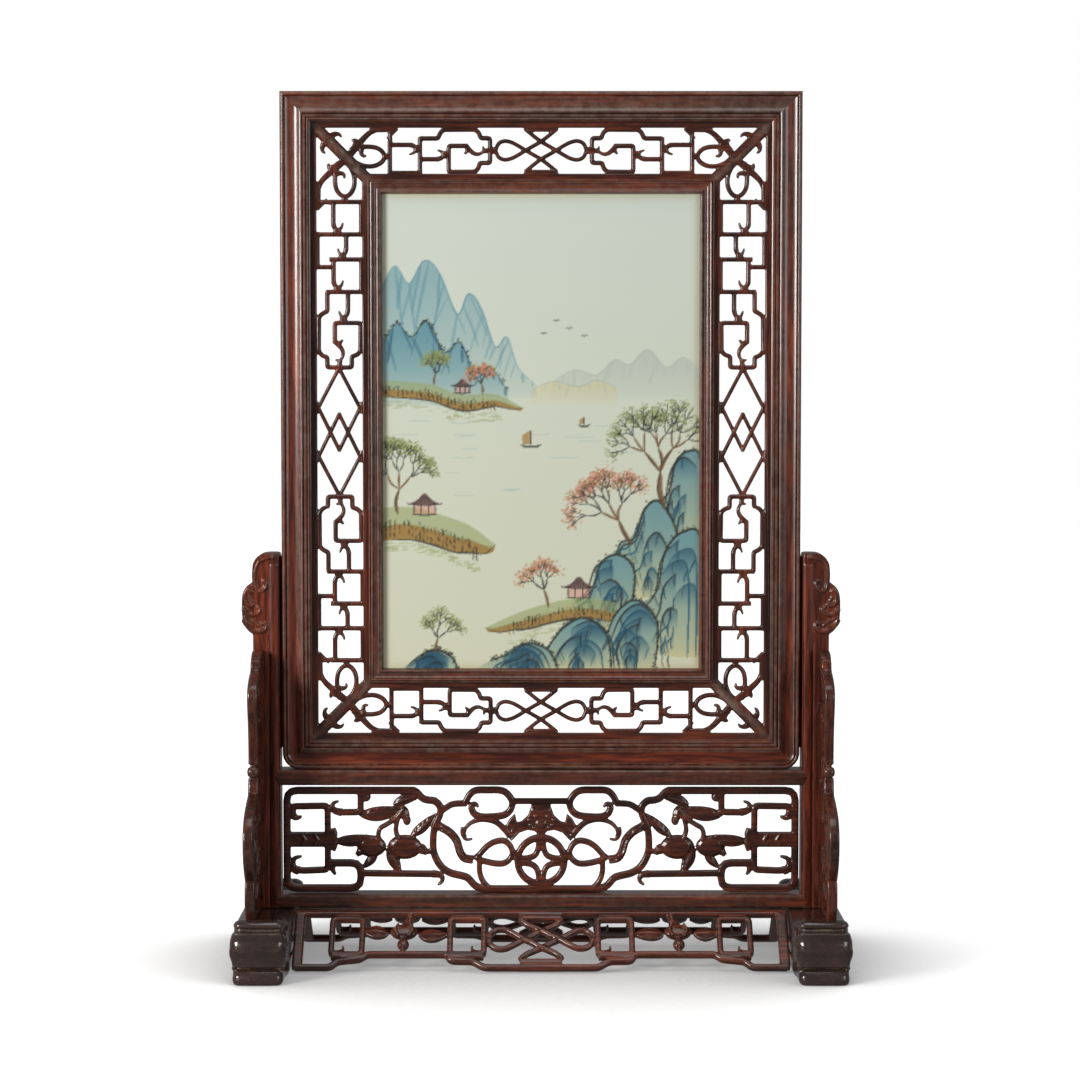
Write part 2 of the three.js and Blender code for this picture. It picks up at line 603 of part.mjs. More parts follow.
function panelSolid() {
  const halfWidth = POST_INNER - FIT;
  const base = PANEL_BASE + FIT;
  const height = PANEL_OPENING - 2 * FIT;
  const field = [206.2, 87.5];
  const part = halfWidth / field[0];
  const outlines = [];
  const solids = [];
  const place = (hand) => ([p, q]) => [hand * p * part, base + q * height / field[1]];
  for (const hand of [-1, 1]) {
    const at = place(hand);
    const draw = (points, width = PANEL_BAR) => outlines.push(bar(points.map(at), width));
    const addLeaf = (stalk, tip, width) => solids.push(leaf(at(stalk), at(tip), part * width, PANEL_DEPTH));
    const addFruit = (spot, halfW, halfH) => {
      solids.push(fruit(at(spot), part * halfW, part * halfH, PANEL_DEPTH));
    };
    panelHalf(draw, addLeaf, addFruit, field);
  }

  // Bat over the coin
  const wing = [[8, 73], [9.5, 64.5], [20.5, 55.5], [20.9, 63], [28.6, 52.6], [22.8, 41], [13.8, 49.4],
    [7.5, 50.6], [3, 46], [3, 41]];
  const bat = [...wing, ...wing.map(([p, q]) => [-p, q]).reverse()];
  const at = place(1);
  solids.push(board([bat.map(at)], PANEL_DEPTH * 0.75));
  solids.push(fruit(at([0, 55.4]), part * 6, part * 6, PANEL_DEPTH));

  // Coin with a square hole between four petals
  const [middle, ring] = [25.6, 18.6];
  outlines.push(bar(arc(0, middle, ring, ring, 0, 390, 13).map(at), PANEL_BAR));
  for (const [across, up] of [[1, 1], [1, -1], [-1, 1], [-1, -1]]) {
    const petal = [[1.4, ring], [4.6, 4.6], [ring, 1.4]];
    outlines.push(bar(petal.map(([p, q]) => at([across * p, middle + up * q])), PANEL_BAR));
  }
  return join([board(outlines, PANEL_DEPTH), ...solids]);
}

// Stand: slanted aprons

// One half of an apron, in parts of its half width and slant: p runs out from its middle, s down the slope
function apronHalf(draw, addLeaf, addFruit, [fieldWidth, fieldSlant]) {
  const floor = fieldSlant - 2.2;
  draw([[0, 2.2], [fieldWidth, 2.2]], 2.9);
  draw([[fieldWidth - 4.2, 0], [fieldWidth - 4.2, fieldSlant]], 1.9);
  draw([[192, floor], [164, floor], [158.5, 53], [140, 51], [136.5, 46.5], [74.5, 46.5], [70, 53], [53, 53],
    [45, floor], [0, floor]]);
  for (const [near, far] of [[45, 71.4], [140.6, 164.2]]) {
    draw([[near, 6], [near, 46.5], [far, 46.5], [far, 6]]);
  }
  addFruit([107.5, 26], 11, 8.5);
  addLeaf([98, 28], [70, 29], 12);
  addLeaf([117, 27], [142, 25], 12);
  draw([[106, 20], [103, 6]]);
  draw([[108, 30], [108, 46]]);
}

function apronSolid(facing) {
  const halfWidth = FOOT_CENTRE - FOOT_INNER_REACH - FIT;
  const outlines = new Map([[APRON_DEPTH, []], [APRON_UNDERPASS, []]]);
  const solids = [];
  const field = [194.4, 61.5];
  const part = halfWidth / field[0];
  const at = ([p, s]) => [p * part, -s * APRON_SLANT / field[1]];
  for (const hand of [-1, 1]) {
    const spot = ([p, s]) => at([hand * p, s]);
    const draw = (points, bars = 1) => {
      outlines.get(APRON_DEPTH).push(bar(points.map(spot), bars * APRON_BAR));
    };
    const addLeaf = (stalk, tip, width) => {
      solids.push(leaf(spot(stalk), spot(tip), part * width, APRON_DEPTH));
    };
    const addFruit = (place, halfW, halfH) => {
      solids.push(fruit(spot(place), part * halfW, part * halfH, APRON_DEPTH));
    };
    apronHalf(draw, addLeaf, addFruit, field);
  }
  const knotTop = 8.4;
  const drawKnot = (points, width, depth) => {
    outlines.get(depth).push(bar(points.map(([p, v]) => at([p, v + knotTop])), width));
  };
  knotFigure(drawKnot, 0, 43, 48.7, APRON_BAR, [APRON_DEPTH, APRON_UNDERPASS]);
  solids.push(...[...outlines].map(([depth, drawn]) => board(drawn, depth)));
  const leaning = join(solids).rotate([facing * APRON_LEAN, 0, 0])
    .translate([0, facing * (RAIL_DEPTH / 2 - 1), FOOT_TOP]);
  const beyond = RAIL_DEPTH * 2;
  const over = box(-halfWidth - 1, halfWidth + 1, -beyond, beyond, FOOT_TOP - FIT, FOOT_TOP + beyond);
  return leaning.subtract(over);
}

// Stand: spandrels

// A board in Y and Z, its outline given as such, from x to x + thick, its edges taken off by r
function sideBoard(outline, x, thick, r) {
  const shape = new THREE.Shape(outline.map(([y, z]) => new THREE.Vector2(y, z)));
  const geometry = new THREE.ExtrudeGeometry(shape, {
    depth: thick - 2 * r,
    bevelThickness: r,
    bevelSize: r,
    bevelOffset: -r,
    bevelSegments: 1,
  });
  return solidOf(geometry.translate(0, 0, r).rotateY(Math.PI / 2).rotateX(Math.PI / 2).translate(x, 0, 0));
}

// A stepped board with a scroll raised on both sides; its forms are shares of its reach and height
function spandrelSolid(hand, facing) {
  const edge = [[0, 1], [0.17, 1], [0.27, 0.96], [0.42, 0.91], [0.54, 0.86], [0.47, 0.7], [0.45, 0.6],
    [0.52, 0.565], [0.5, 0.48], [0.56, 0.47], [0.85, 0.425], [0.98, 0.37], [0.98, 0.28], [0.81, 0.175],
    [0.84, 0.15], [0.83, 0.05], [0.7, 0], [0, 0]];
  const scroll = [[0.12, 0.93], [0.36, 0.84], [0.2, 0.62], [0.66, 0.38], [0.7, 0.26], [0.42, 0.24],
    [0.5, 0.33]];
  const start = POST_DEPTH / 2 + FIT;
  const place = ([reach, height]) => [
    facing * (start + reach * SPANDREL_REACH), STAND_BASE + height * SPANDREL_HEIGHT];
  const thick = SPANDREL_BOARD - 2 * RELIEF;
  const middle = hand * (POST_OUTER - SPANDREL_BOARD / 2);
  const plain = sideBoard(edge.map(place), middle - thick / 2, thick, SPANDREL_ROUNDING);
  const raised = bar(scroll.map(place), SPANDREL_BOARD * 0.6);
  return plain.add(board([raised], SPANDREL_BOARD, { offset: middle, turn: 90 }));
}

// Stand: feet

// A block of stacked rectangles: half length, half width and height of each level
function stackedBlock(levels, x) {
  const corners = levels.flatMap(([halfLength, halfWidth, z]) => (
    [[1, 1], [-1, 1], [-1, -1], [1, -1]].map(([a, b]) => [x + a * halfWidth, b * halfLength, z])));
  const faces = [[0, 1, 2], [0, 2, 3]];
  for (let i = 0; i < levels.length - 1; i += 1) {
    for (let k = 0; k < 4; k += 1) {
      const [a, b] = [4 * i + k, 4 * i + (k + 1) % 4];
      faces.push([a, a + 4, b + 4], [a, b + 4, b]);
    }
  }
  const last = 4 * (levels.length - 1);
  faces.push([last, last + 2, last + 1], [last, last + 3, last + 2]);
  return shell(corners, faces);
}

// A roll that lies across the foot: its profile gives radius and place along X
function roll(profile, x, y, z, segments) {
  const geometry = new THREE.LatheGeometry(profile.map(([r, a]) => new THREE.Vector2(r, a)), segments);
  return solidOf(geometry.rotateZ(-Math.PI / 2).translate(x, y, z));
}

function footSolid(hand) {
  const x = hand * FOOT_CENTRE;
  const [halfLength, halfWidth] = [FOOT_LENGTH / 2, FOOT_WIDTH / 2];
  const base = stackedBlock([
    [halfLength - FOOT_BASE * 0.07, halfWidth - FOOT_BASE * 0.03, 0],
    [halfLength, halfWidth, FOOT_BASE * 0.45],
    [halfLength - FOOT_BASE * 0.22, halfWidth - FOOT_BASE * 0.07, FOOT_BASE * 0.85],
    [halfLength - FOOT_BASE * 0.37, halfWidth - FOOT_BASE * 0.1, FOOT_BASE],
  ], x);
  const bodyXs = [x - hand * FOOT_INNER_REACH, x + hand * FOOT_OUTER_REACH].sort((a, b) => a - b);
  const drumHeight = FOOT_TOP - DRUM_RADIUS + 0.8;
  const drumY = halfLength - DRUM_RADIUS;
  const bodyLength = halfLength - DRUM_RADIUS - ROLL_RADIUS;
  const solids = [base, box(...bodyXs, -bodyLength, bodyLength, FOOT_BASE - 2, FOOT_TOP)];
  const [r, w] = [DRUM_RADIUS, DRUM_WIDTH / 2];
  const [drumEase, drumDish] = [r * 0.27, r * 0.1];
  const drum = [[0, drumDish - w], [r * 0.7, -w], [r, drumEase - w], [r, w - drumEase], [r * 0.7, w],
    [0, w - drumDish]];
  const [upperRadius, upperHalf, upperEase] = [ROLL_RADIUS, ROLL_WIDTH / 2, ROLL_RADIUS * 0.37];
  const upper = [[0, -upperHalf], [upperRadius * 0.8, -upperHalf], [upperRadius, upperEase - upperHalf],
    [upperRadius, upperHalf - upperEase], [upperRadius * 0.8, upperHalf], [0, upperHalf]];
  for (const facing of [-1, 1]) {
    solids.push(roll(drum, x, facing * drumY, drumHeight, 10));
    solids.push(roll(upper, x, facing * (drumY + ROLL_RADIUS * 0.3), FOOT_TOP + ROLL_RISE - ROLL_RADIUS, 8));
  }
  const tenonMiddle = hand * (POST_INNER + POST_WIDTH / 2);
  const [mortiseWidth, mortiseDepth] = [POST_TENON_WIDTH / 2 + FIT, POST_TENON_DEPTH / 2 + FIT];
  const mortise = box(tenonMiddle - mortiseWidth, tenonMiddle + mortiseWidth, -mortiseDepth, mortiseDepth,
    STAND_BASE - POST_TENON - FIT, FOOT_TOP + 1);
  return join(solids).subtract(mortise);
}

const group = new THREE.Group();
for (const side of sides) {
  const post = side.name === 'left' || side.name === 'right' ? `stile_${side.name}` : `${side.name}_rail`;
  group.add(node(`outer_${post}`, outerMember(side), rosewood));
  group.add(node(`fret_${side.name}`, fretStrip(side), darkwood));
  group.add(node(`inner_${post}`, mitredMember(side, INNER_START, innerProfile()), rosewood));
}
group.add(node('plaque', plaqueSolid(), porcelain));
group.add(node('rail_lower', railSolid(STAND_BASE, LOWER_RAIL), rosewood));
group.add(node('rail_upper', railSolid(UPPER_RAIL_BASE, UPPER_RAIL), rosewood));
group.add(node('panel', panelSolid(), darkwood));
for (const [hand, sideName] of [[-1, 'left'], [1, 'right']]) {
  group.add(node(`post_${sideName}`, postSolid(hand), rosewood));
  group.add(node(`foot_${sideName}`, footSolid(hand), darkwood));
}
for (const [facing, faceName] of [[-1, 'front'], [1, 'back']]) {
  group.add(node(`apron_${faceName}`, apronSolid(facing), darkwood));
  for (const [hand, sideName] of [[-1, 'left'], [1, 'right']]) {
    group.add(node(`spandrel_${faceName}_${sideName}`, spandrelSolid(hand, facing), rosewood));
  }
}

export default group;
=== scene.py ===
import math
import random

import bpy
import numpy as np
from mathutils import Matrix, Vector


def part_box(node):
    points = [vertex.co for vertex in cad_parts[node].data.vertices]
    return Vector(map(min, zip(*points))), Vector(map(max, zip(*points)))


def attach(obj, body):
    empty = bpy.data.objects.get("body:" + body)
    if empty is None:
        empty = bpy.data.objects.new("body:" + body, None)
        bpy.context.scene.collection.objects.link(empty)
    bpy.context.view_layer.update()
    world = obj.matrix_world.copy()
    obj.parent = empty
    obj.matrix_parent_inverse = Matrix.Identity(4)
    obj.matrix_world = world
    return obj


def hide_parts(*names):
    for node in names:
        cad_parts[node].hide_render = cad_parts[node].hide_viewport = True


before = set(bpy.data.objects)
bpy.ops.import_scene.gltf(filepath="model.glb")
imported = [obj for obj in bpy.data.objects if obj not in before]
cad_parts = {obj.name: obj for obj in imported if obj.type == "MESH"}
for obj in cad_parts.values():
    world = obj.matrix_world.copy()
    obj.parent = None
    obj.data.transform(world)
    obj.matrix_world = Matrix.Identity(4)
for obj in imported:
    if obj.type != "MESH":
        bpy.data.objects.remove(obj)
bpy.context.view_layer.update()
MM = 0.001

# Camera, floor and light
# The camera stands in front of the screen, a little above its middle, as the photograph's does.
# The floor is pale and glows evenly, except for a painted shadow under the stand where ambient occlusion dims
# its glow; soft light comes from the left, with less of it from the right.

SUBJECT_HEIGHT = 334.6 * MM
CAMERA_DISTANCE = 2350 * MM
CAMERA_PITCH = math.radians(3.43)
PICTURE_WIDTH_AT_SUBJECT = 855.4 * MM
CAMERA_ASIDE = -0.8 * MM
SENSOR = 36.0

bpy.ops.object.camera_add(
    location=(CAMERA_ASIDE, -CAMERA_DISTANCE * math.cos(CAMERA_PITCH),
              SUBJECT_HEIGHT + CAMERA_DISTANCE * math.sin(CAMERA_PITCH)),
    rotation=(math.radians(90) - CAMERA_PITCH, 0, 0))
camera = bpy.context.object
camera.name = "camera"
camera.data.sensor_width = SENSOR
camera.data.lens = SENSOR * CAMERA_DISTANCE / PICTURE_WIDTH_AT_SUBJECT
bpy.context.scene.camera = camera


def soft_light(name, place, size, power, tint):
    bpy.ops.object.light_add(type="AREA", location=place)
    lamp = bpy.context.object
    lamp.name = name
    lamp.data.size = size
    lamp.data.energy = power
    lamp.data.color = tint
    aim = Vector((0, 0, SUBJECT_HEIGHT)) - Vector(place)
    lamp.rotation_euler = aim.to_track_quat("-Z", "Y").to_euler()


soft_light("key_light", (-2.0, -1.7, 0.85), 0.8, 70, (1.0, 0.98, 0.95))
soft_light("fill_light", (2.0, -1.8, 0.8), 1.0, 15, (0.97, 0.98, 1.0))
soft_light("top_light", (0.0, -0.5, 2.4), 1.0, 8, (1.0, 1.0, 1.0))

SURROUNDING_LIGHT = 0.2
BACKDROP_LIGHT = 1.0
SHADED_FLOOR = 0.25
bpy.context.scene.view_settings.view_transform = "Standard"

world = bpy.data.worlds.new("studio")
world.use_nodes = True
studio = world.node_tree
background = studio.nodes["Background"]
background.inputs["Color"].default_value = (1.0, 1.0, 1.0, 1)
seen = studio.nodes.new("ShaderNodeLightPath")
backdrop = studio.nodes.new("ShaderNodeMapRange")
backdrop.inputs["To Min"].default_value = SURROUNDING_LIGHT
backdrop.inputs["To Max"].default_value = BACKDROP_LIGHT
studio.links.new(seen.outputs["Is Camera Ray"], backdrop.inputs["Value"])
studio.links.new(backdrop.outputs["Result"], background.inputs["Strength"])
bpy.context.scene.world = world

FLOOR_HALF = 6.0
bpy.ops.mesh.primitive_plane_add(size=2 * FLOOR_HALF, location=(0, 0, 0))
floor = bpy.context.object
floor.name = "floor"
pale = bpy.data.materials.new("pale floor with painted shadow")
pale.use_nodes = True
pale_shader = pale.node_tree.nodes["Principled BSDF"]
pale_shader.inputs["Base Color"].default_value = (0.5, 0.5, 0.5, 1)
pale_shader.inputs["Roughness"].default_value = 0.6
pale_shader.inputs["Emission Color"].default_value = (1, 1, 1, 1)
# Painted shadow: the floor's glow is dimmed where ambient occlusion finds the stand close above it.
open_air = pale.node_tree.nodes.new("ShaderNodeAmbientOcclusion")
open_air.samples = 8
open_air.inputs["Distance"].default_value = 0.45
glow_with_painted_shadow = pale.node_tree.nodes.new("ShaderNodeMapRange")
glow_with_painted_shadow.inputs["From Min"].default_value = 0.55
glow_with_painted_shadow.inputs["From Max"].default_value = 0.985
glow_with_painted_shadow.inputs["To Min"].default_value = SHADED_FLOOR
glow_with_painted_shadow.inputs["To Max"].default_value = BACKDROP_LIGHT
pale.node_tree.links.new(open_air.outputs["AO"], glow_with_painted_shadow.inputs["Value"])
pale.node_tree.links.new(glow_with_painted_shadow.outputs["Result"], pale_shader.inputs["Emission Strength"])
floor.data.materials.append(pale)
floor.visible_diffuse = False
floor.visible_glossy = False

# Outer frame
# Four hardwood members, each planed to one moulding: a rounded bead, a wide shallow cove and fine reeds.
# They are mitred at the corners; the lower corners are rounded, and the bead follows the rounding.

OUTER_WIDTH = 23.5
FRONT_OF_OUTER = 10.0
LOWER_CORNER_RADIUS = 13.0
BACK_CHAMFER = 1.5

screen_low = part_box("outer_bottom_rail")[0] / MM
screen_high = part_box("outer_top_rail")[1] / MM
SCREEN_HALF_WIDTH = screen_high.x
SCREEN_BOTTOM = screen_low.z
SCREEN_TOP = screen_high.z
SCREEN_HALF_HEIGHT = (SCREEN_TOP - SCREEN_BOTTOM) / 2
SCREEN_MIDDLE = (SCREEN_TOP + SCREEN_BOTTOM) / 2

# A side of the screen: u runs along it from its middle, v inwards from the outer edge
SIDES = {
    "top": (SCREEN_HALF_WIDTH, lambda u, v: (u, SCREEN_TOP - v)),
    "bottom": (SCREEN_HALF_WIDTH, lambda u, v: (u, SCREEN_BOTTOM + v)),
    "left": (SCREEN_HALF_HEIGHT, lambda u, v: (v - SCREEN_HALF_WIDTH, SCREEN_MIDDLE + u)),
    "right": (SCREEN_HALF_HEIGHT, lambda u, v: (SCREEN_HALF_WIDTH - v, SCREEN_MIDDLE + u)),
}


def mesh_piece(name, vertices, faces):
    data = bpy.data.meshes.new(name)
    data.from_pydata([(x * MM, y * MM, z * MM) for x, y, z in vertices], [], faces)
    piece = bpy.data.objects.new(name, data)
    bpy.context.collection.objects.link(piece)
    return piece


def pick(piece):
    bpy.ops.object.select_all(action="DESELECT")
    piece.select_set(True)
    bpy.context.view_layer.objects.active = piece


def in_edit_mode(piece, step):
    pick(piece)
    bpy.ops.object.mode_set(mode="EDIT")
    bpy.ops.mesh.select_all(action="SELECT")
    step()
    bpy.ops.object.mode_set(mode="OBJECT")


def weld(piece):
    in_edit_mode(piece, lambda: bpy.ops.mesh.remove_doubles(threshold=0.01 * MM))


def face_outwards(piece):
    in_edit_mode(piece, lambda: bpy.ops.mesh.normals_make_consistent(inside=False))


def saw(piece, point, beyond):
    """Takes off what lies beyond a plane and closes the cut."""
    in_edit_mode(piece, lambda: bpy.ops.mesh.bisect(plane_co=point, plane_no=beyond, use_fill=True,
                                                    clear_outer=True))


def smooth(piece, angle=35):
    pick(piece)
    bpy.ops.object.shade_smooth_by_angle(angle=math.radians(angle))


def moulding(name, side, inset, profile, radii):
    """A mitred member whose profile gives v and y; radii round the screen's corners at its two ends."""
    half, at = SIDES[side]
    half -= inset
    stations = []
    for end, radius in zip((-1, 1), radii):
        turns = [45 * k / 6 for k in range(7)] if radius else [45]
        for turn in (reversed(turns) if end < 0 else turns):
            stations.append((end, radius, math.radians(turn)))
    vertices = []
    for end, radius, turn in stations:
        for v, y in profile:
            if v < radius:
                along = half - radius + (radius - v) * math.sin(turn)
                across = radius - (radius - v) * math.cos(turn)
            else:
                along, across = half - v, v
            x, z = at(end * along, inset + across)
            vertices.append((x, y, z))
    count = len(profile)
    faces = [tuple(range(count)), tuple(range(len(vertices) - count, len(vertices)))]
    for i in range(len(stations) - 1):
        for k in range(count):
            m = (k + 1) % count
            faces.append((i * count + k, i * count + m, (i + 1) * count + m, (i + 1) * count + k))
    piece = mesh_piece(name, vertices, faces)
    weld(piece)
    face_outwards(piece)
    smooth(piece)
    return piece


def with_flat_back(face, width, front):
    """A member's profile: its moulded face, then a flat back with narrow chamfers."""
    back = [(width, front - BACK_CHAMFER), (width - BACK_CHAMFER, front), (BACK_CHAMFER, front),
            (0, front - BACK_CHAMFER)]
    return [(v, depth - front) for v, depth in face] + back


def outer_profile():
    bead = [(0, 4), (0, 2.4), (0.35, 1.3), (0.9, 0.6), (1.7, 0.25), (2.5, 0.4), (3.05, 0.95), (3.3, 1.9)]
    cove_start, cove_end, cove_depth = 4.3, 15.2, 2.3
    cove = []
    for i in range(13):
        share = i / 12
        v = cove_start + (cove_end - cove_start) * share
        cove.append((v, 1.3 - 0.9 * share + cove_depth * (1 - (2 * share - 1) ** 2) * 0.8))
    reeds = [(15.7, 0.12), (16.4, 0.0), (17.0, 0.35), (17.25, 1.7), (17.65, 1.9), (17.9, 1.1), (18.4, 0.55),
             (19.2, 0.4), (19.9, 0.6), (20.35, 1.2), (20.5, 1.9), (20.8, 1.9), (21.0, 1.2), (21.5, 0.9),
             (22.1, 1.0), (22.6, 1.6), (22.8, 2.8), (OUTER_WIDTH, 3.2)]
    quirk = [(3.7, 2.2), (4.05, 1.9)]
    return with_flat_back(bead + quirk + cove + reeds, OUTER_WIDTH, FRONT_OF_OUTER)


def group_node(tree, kind, place, **values):
    node = tree.nodes.new(kind)
    node.location = place
    for key, value in values.items():
        if key in node.inputs:
            node.inputs[key].default_value = value
        else:
            setattr(node, key, value)
    return node


def link(tree, source, target):
    tree.links.new(source, target)


def shader_values(shader, values):
    for socket, value in values.items():
        shader.inputs[socket].default_value = value


def polished_wood_group():
    """Figure, fibres, pores, dust in the hollows, and edges paled by rubbing and a painted highlight, in old
    hardwood.
    """
    group = bpy.data.node_groups.new("polished hardwood", "ShaderNodeTree")
    for way, kind, names in (("INPUT", "Vector", ("Grain", "Place")),
                             ("INPUT", "Color", ("Deep", "Warm", "Streak", "Worn and sheen", "Dirt")),
                             ("INPUT", "Float", ("Wear and sheen", "Dust", "Gloss")),
                             ("OUTPUT", "Color", ("Color",)),
                             ("OUTPUT", "Float", ("Roughness", "Height"))):
        for name in names:
            group.interface.new_socket(name, in_out=way, socket_type=f"NodeSocket{kind}")
    given = group_node(group, "NodeGroupInput", (-1400, 0))
    result = group_node(group, "NodeGroupOutput", (1400, 0))

    def noise(source, scale, detail, place, roughness=0.55):
        texture = group_node(group, "ShaderNodeTexNoise", place, Scale=scale, Detail=detail,
                             Roughness=roughness)
        link(group, given.outputs[source], texture.inputs["Vector"])
        return texture.outputs["Fac"]

    def ramp(value, low, high, place):
        node = group_node(group, "ShaderNodeMapRange", place)
        node.inputs["From Min"].default_value = low
        node.inputs["From Max"].default_value = high
        link(group, value, node.inputs["Value"])
        return node.outputs["Result"]

    def times(a, b, place):
        node = group_node(group, "ShaderNodeMath", place, operation="MULTIPLY")
        for socket, value in zip(node.inputs, (a, b)):
            if isinstance(value, (int, float)):
                socket.default_value = value
            else:
                link(group, value, socket)
        return node.outputs["Value"]

    def times_plus(value, factor, base, place):
        node = group_node(group, "ShaderNodeMath", place, operation="MULTIPLY_ADD")
        link(group, value, node.inputs[0])
        node.inputs[1].default_value = factor
        link(group, base, node.inputs[2])
        return node.outputs["Value"]

    def blend(share, a, b, place):
        node = group_node(group, "ShaderNodeMix", place, data_type="RGBA")
        link(group, share, node.inputs["Factor"])
        link(group, a, node.inputs["A"])
        link(group, b, node.inputs["B"])
        return node.outputs["Result"]

    figure = ramp(noise("Grain", 42, 3, (-1100, 400)), 0.38, 0.64, (-900, 400))
    fibre = ramp(noise("Grain", 420, 4, (-1100, 150), 0.65), 0.42, 0.68, (-900, 150))
    pores = ramp(noise("Grain", 1500, 2, (-1100, -100)), 0.63, 0.72, (-900, -100))
    cloud = ramp(noise("Grain", 52, 3, (-1100, -350)), 0.3, 0.68, (-900, -350))
    specks = ramp(noise("Place", 1300, 1, (-1100, -600)), 0.74, 0.79, (-900, -600))
    patches = ramp(noise("Place", 150, 4, (-1100, -850)), 0.4, 0.62, (-900, -850))
    geometry = group_node(group, "ShaderNodeNewGeometry", (-1100, -1100))
    edges = ramp(geometry.outputs["Pointiness"], 0.51, 0.56, (-900, -1100))
    hollows = ramp(geometry.outputs["Pointiness"], 0.49, 0.44, (-900, -1350))

    color = blend(cloud, given.outputs["Deep"], given.outputs["Warm"], (-600, 400))
    color = blend(times(figure, 0.45, (-700, 250)), color, given.outputs["Deep"], (-400, 350))
    color = blend(times(times(fibre, cloud, (-800, 50)), 0.8, (-650, 50)), color, given.outputs["Streak"],
                  (-200, 300))
    color = blend(times(pores, 0.5, (-650, -100)), color, given.outputs["Deep"], (0, 250))
    # Pointy edges are paled: partly real rubbing, partly a painted highlight.
    worn_and_sheen = times(times(edges, given.outputs["Wear and sheen"], (-650, -1000)), ramp(patches, -0.6, 1.0, (-650, -850)),
                 (-450, -950))
    color = blend(worn_and_sheen, color, given.outputs["Worn and sheen"], (200, 200))
    dusty = times(times(hollows, given.outputs["Dust"], (-650, -1350)), patches, (-450, -1300))
    color = blend(dusty, color, given.outputs["Dirt"], (400, 150))
    color = blend(times(specks, 0.35, (-650, -600)), color, given.outputs["Dirt"], (600, 100))
    link(group, color, result.inputs["Color"])

    rough = times_plus(fibre, 0.12, given.outputs["Gloss"], (800, -200))
    link(group, times_plus(dusty, 0.35, rough, (1000, -200)), result.inputs["Roughness"])
    link(group, times_plus(pores, -0.7, fibre, (800, -500)), result.inputs["Height"])
    return group


polished = polished_wood_group()
ACROSS_GRAIN = 1.0
ALONG_GRAIN = 0.07


def srgb(red, green, blue):
    def linear(channel):
        share = channel / 255
        return share / 12.92 if share <= 0.04045 else ((share + 0.055) / 1.055) ** 2.4
    return (linear(red), linear(green), linear(blue), 1)


def wood(name, axis, deep, warm, streak, wear_and_sheen, dust, gloss, coat=0.42):
    """Polished hardwood with its grain along one axis."""
    material = bpy.data.materials.new(name)
    material.use_nodes = True
    tree = material.node_tree
    shader = tree.nodes["Principled BSDF"]
    coordinates = group_node(tree, "ShaderNodeTexCoord", (-1000, 0))
    mapping = group_node(tree, "ShaderNodeMapping", (-800, 0))
    mapping.inputs["Scale"].default_value = [ALONG_GRAIN if k == axis else ACROSS_GRAIN for k in "xyz"]
    finish = group_node(tree, "ShaderNodeGroup", (-500, 0), node_tree=polished)
    link(tree, coordinates.outputs["Object"], mapping.inputs["Vector"])
    link(tree, mapping.outputs["Vector"], finish.inputs["Grain"])
    link(tree, coordinates.outputs["Object"], finish.inputs["Place"])
    shader_values(finish, {"Deep": deep, "Warm": warm, "Streak": streak, "Worn and sheen": WORN_AND_SHEEN, "Dirt": DIRT,
                           "Wear and sheen": wear_and_sheen, "Dust": dust, "Gloss": gloss})
    bump = group_node(tree, "ShaderNodeBump", (-250, -300), Strength=0.18, Distance=0.15 * MM)
    link(tree, finish.outputs["Height"], bump.inputs["Height"])
    link(tree, bump.outputs["Normal"], shader.inputs["Normal"])
    link(tree, finish.outputs["Color"], shader.inputs["Base Color"])
    link(tree, finish.outputs["Roughness"], shader.inputs["Roughness"])
    shader_values(shader, {"Coat Weight": coat, "Coat Roughness": 0.15, "Specular IOR Level": 0.25})
    return material


# The pale edge colour stands for rubbing and also serves as a painted highlight.
WORN_AND_SHEEN, DIRT = srgb(128, 108, 96), srgb(150, 130, 88)
RED_DEEP, RED_WARM, RED_STREAK = srgb(40, 17, 13), srgb(82, 32, 21), srgb(152, 64, 30)
# The fifth argument sets how strongly edges are paled, as rubbing and as a painted highlight.
level_hardwood, upright_hardwood = (
    wood(f"red hardwood, grain {run}", axis, RED_DEEP, RED_WARM, RED_STREAK, 0.45, 0.4, 0.27)
    for run, axis in (("level", "x"), ("upright", "z")))

CORNER_RADII = {"top": (0, 0), "bottom": (LOWER_CORNER_RADIUS, LOWER_CORNER_RADIUS),
                "left": (LOWER_CORNER_RADIUS, 0), "right": (LOWER_CORNER_RADIUS, 0)}


def frame_member(frame_name, side_name, inset, profile, radii=(0, 0)):
    """One member with the grain along it, and the name of the node that it stands for."""
    level = side_name in ("top", "bottom")
    node_name = f"{frame_name}_{side_name}_rail" if level else f"{frame_name}_stile_{side_name}"
    member = moulding(f"{node_name}_moulded", side_name, inset, profile, radii)
    member.data.materials.append(level_hardwood if level else upright_hardwood)
    return member, node_name


for side_name in SIDES:
    member, node_name = frame_member("outer", side_name, 0, outer_profile(), CORNER_RADII[side_name])
    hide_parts(node_name)
    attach(member, "root")

# Fretwork strips
# Four openwork strips sawn from thin boards, their bars rounded over by hand, with hooked and barbed ends.
# Each has a flat edge rail along both sides and is mitred into its neighbours through the corner stems.

FRET_EDGE = 4.5
FRET_BAND = 36.0
FRET_DEPTH = 6.0
FRET_TONGUE = 1.5
FRET_BAR = 3.5
STEM_WIDTH = 9.2
CORNER_RUN = 58.0
KEY_RUN = 24.0
LINK_RUN = 18.5
CARTOUCHE_RUN = 56.0
KNOT_HALF = 40.0
KNOT_LINE = 17.7
DIAMOND_HALF = 51.0
DIAMOND_LINE = 17.4
HUNG_BAR, WHOLE_BAR = 7.4, 1.0
UNDER, OVER = -0.5, 0.5
FRET_VOXEL = 0.5
TALL_FRET_TRIANGLES, WIDE_FRET_TRIANGLES = 79000, 62000
BAND_START = OUTER_WIDTH + FRET_EDGE


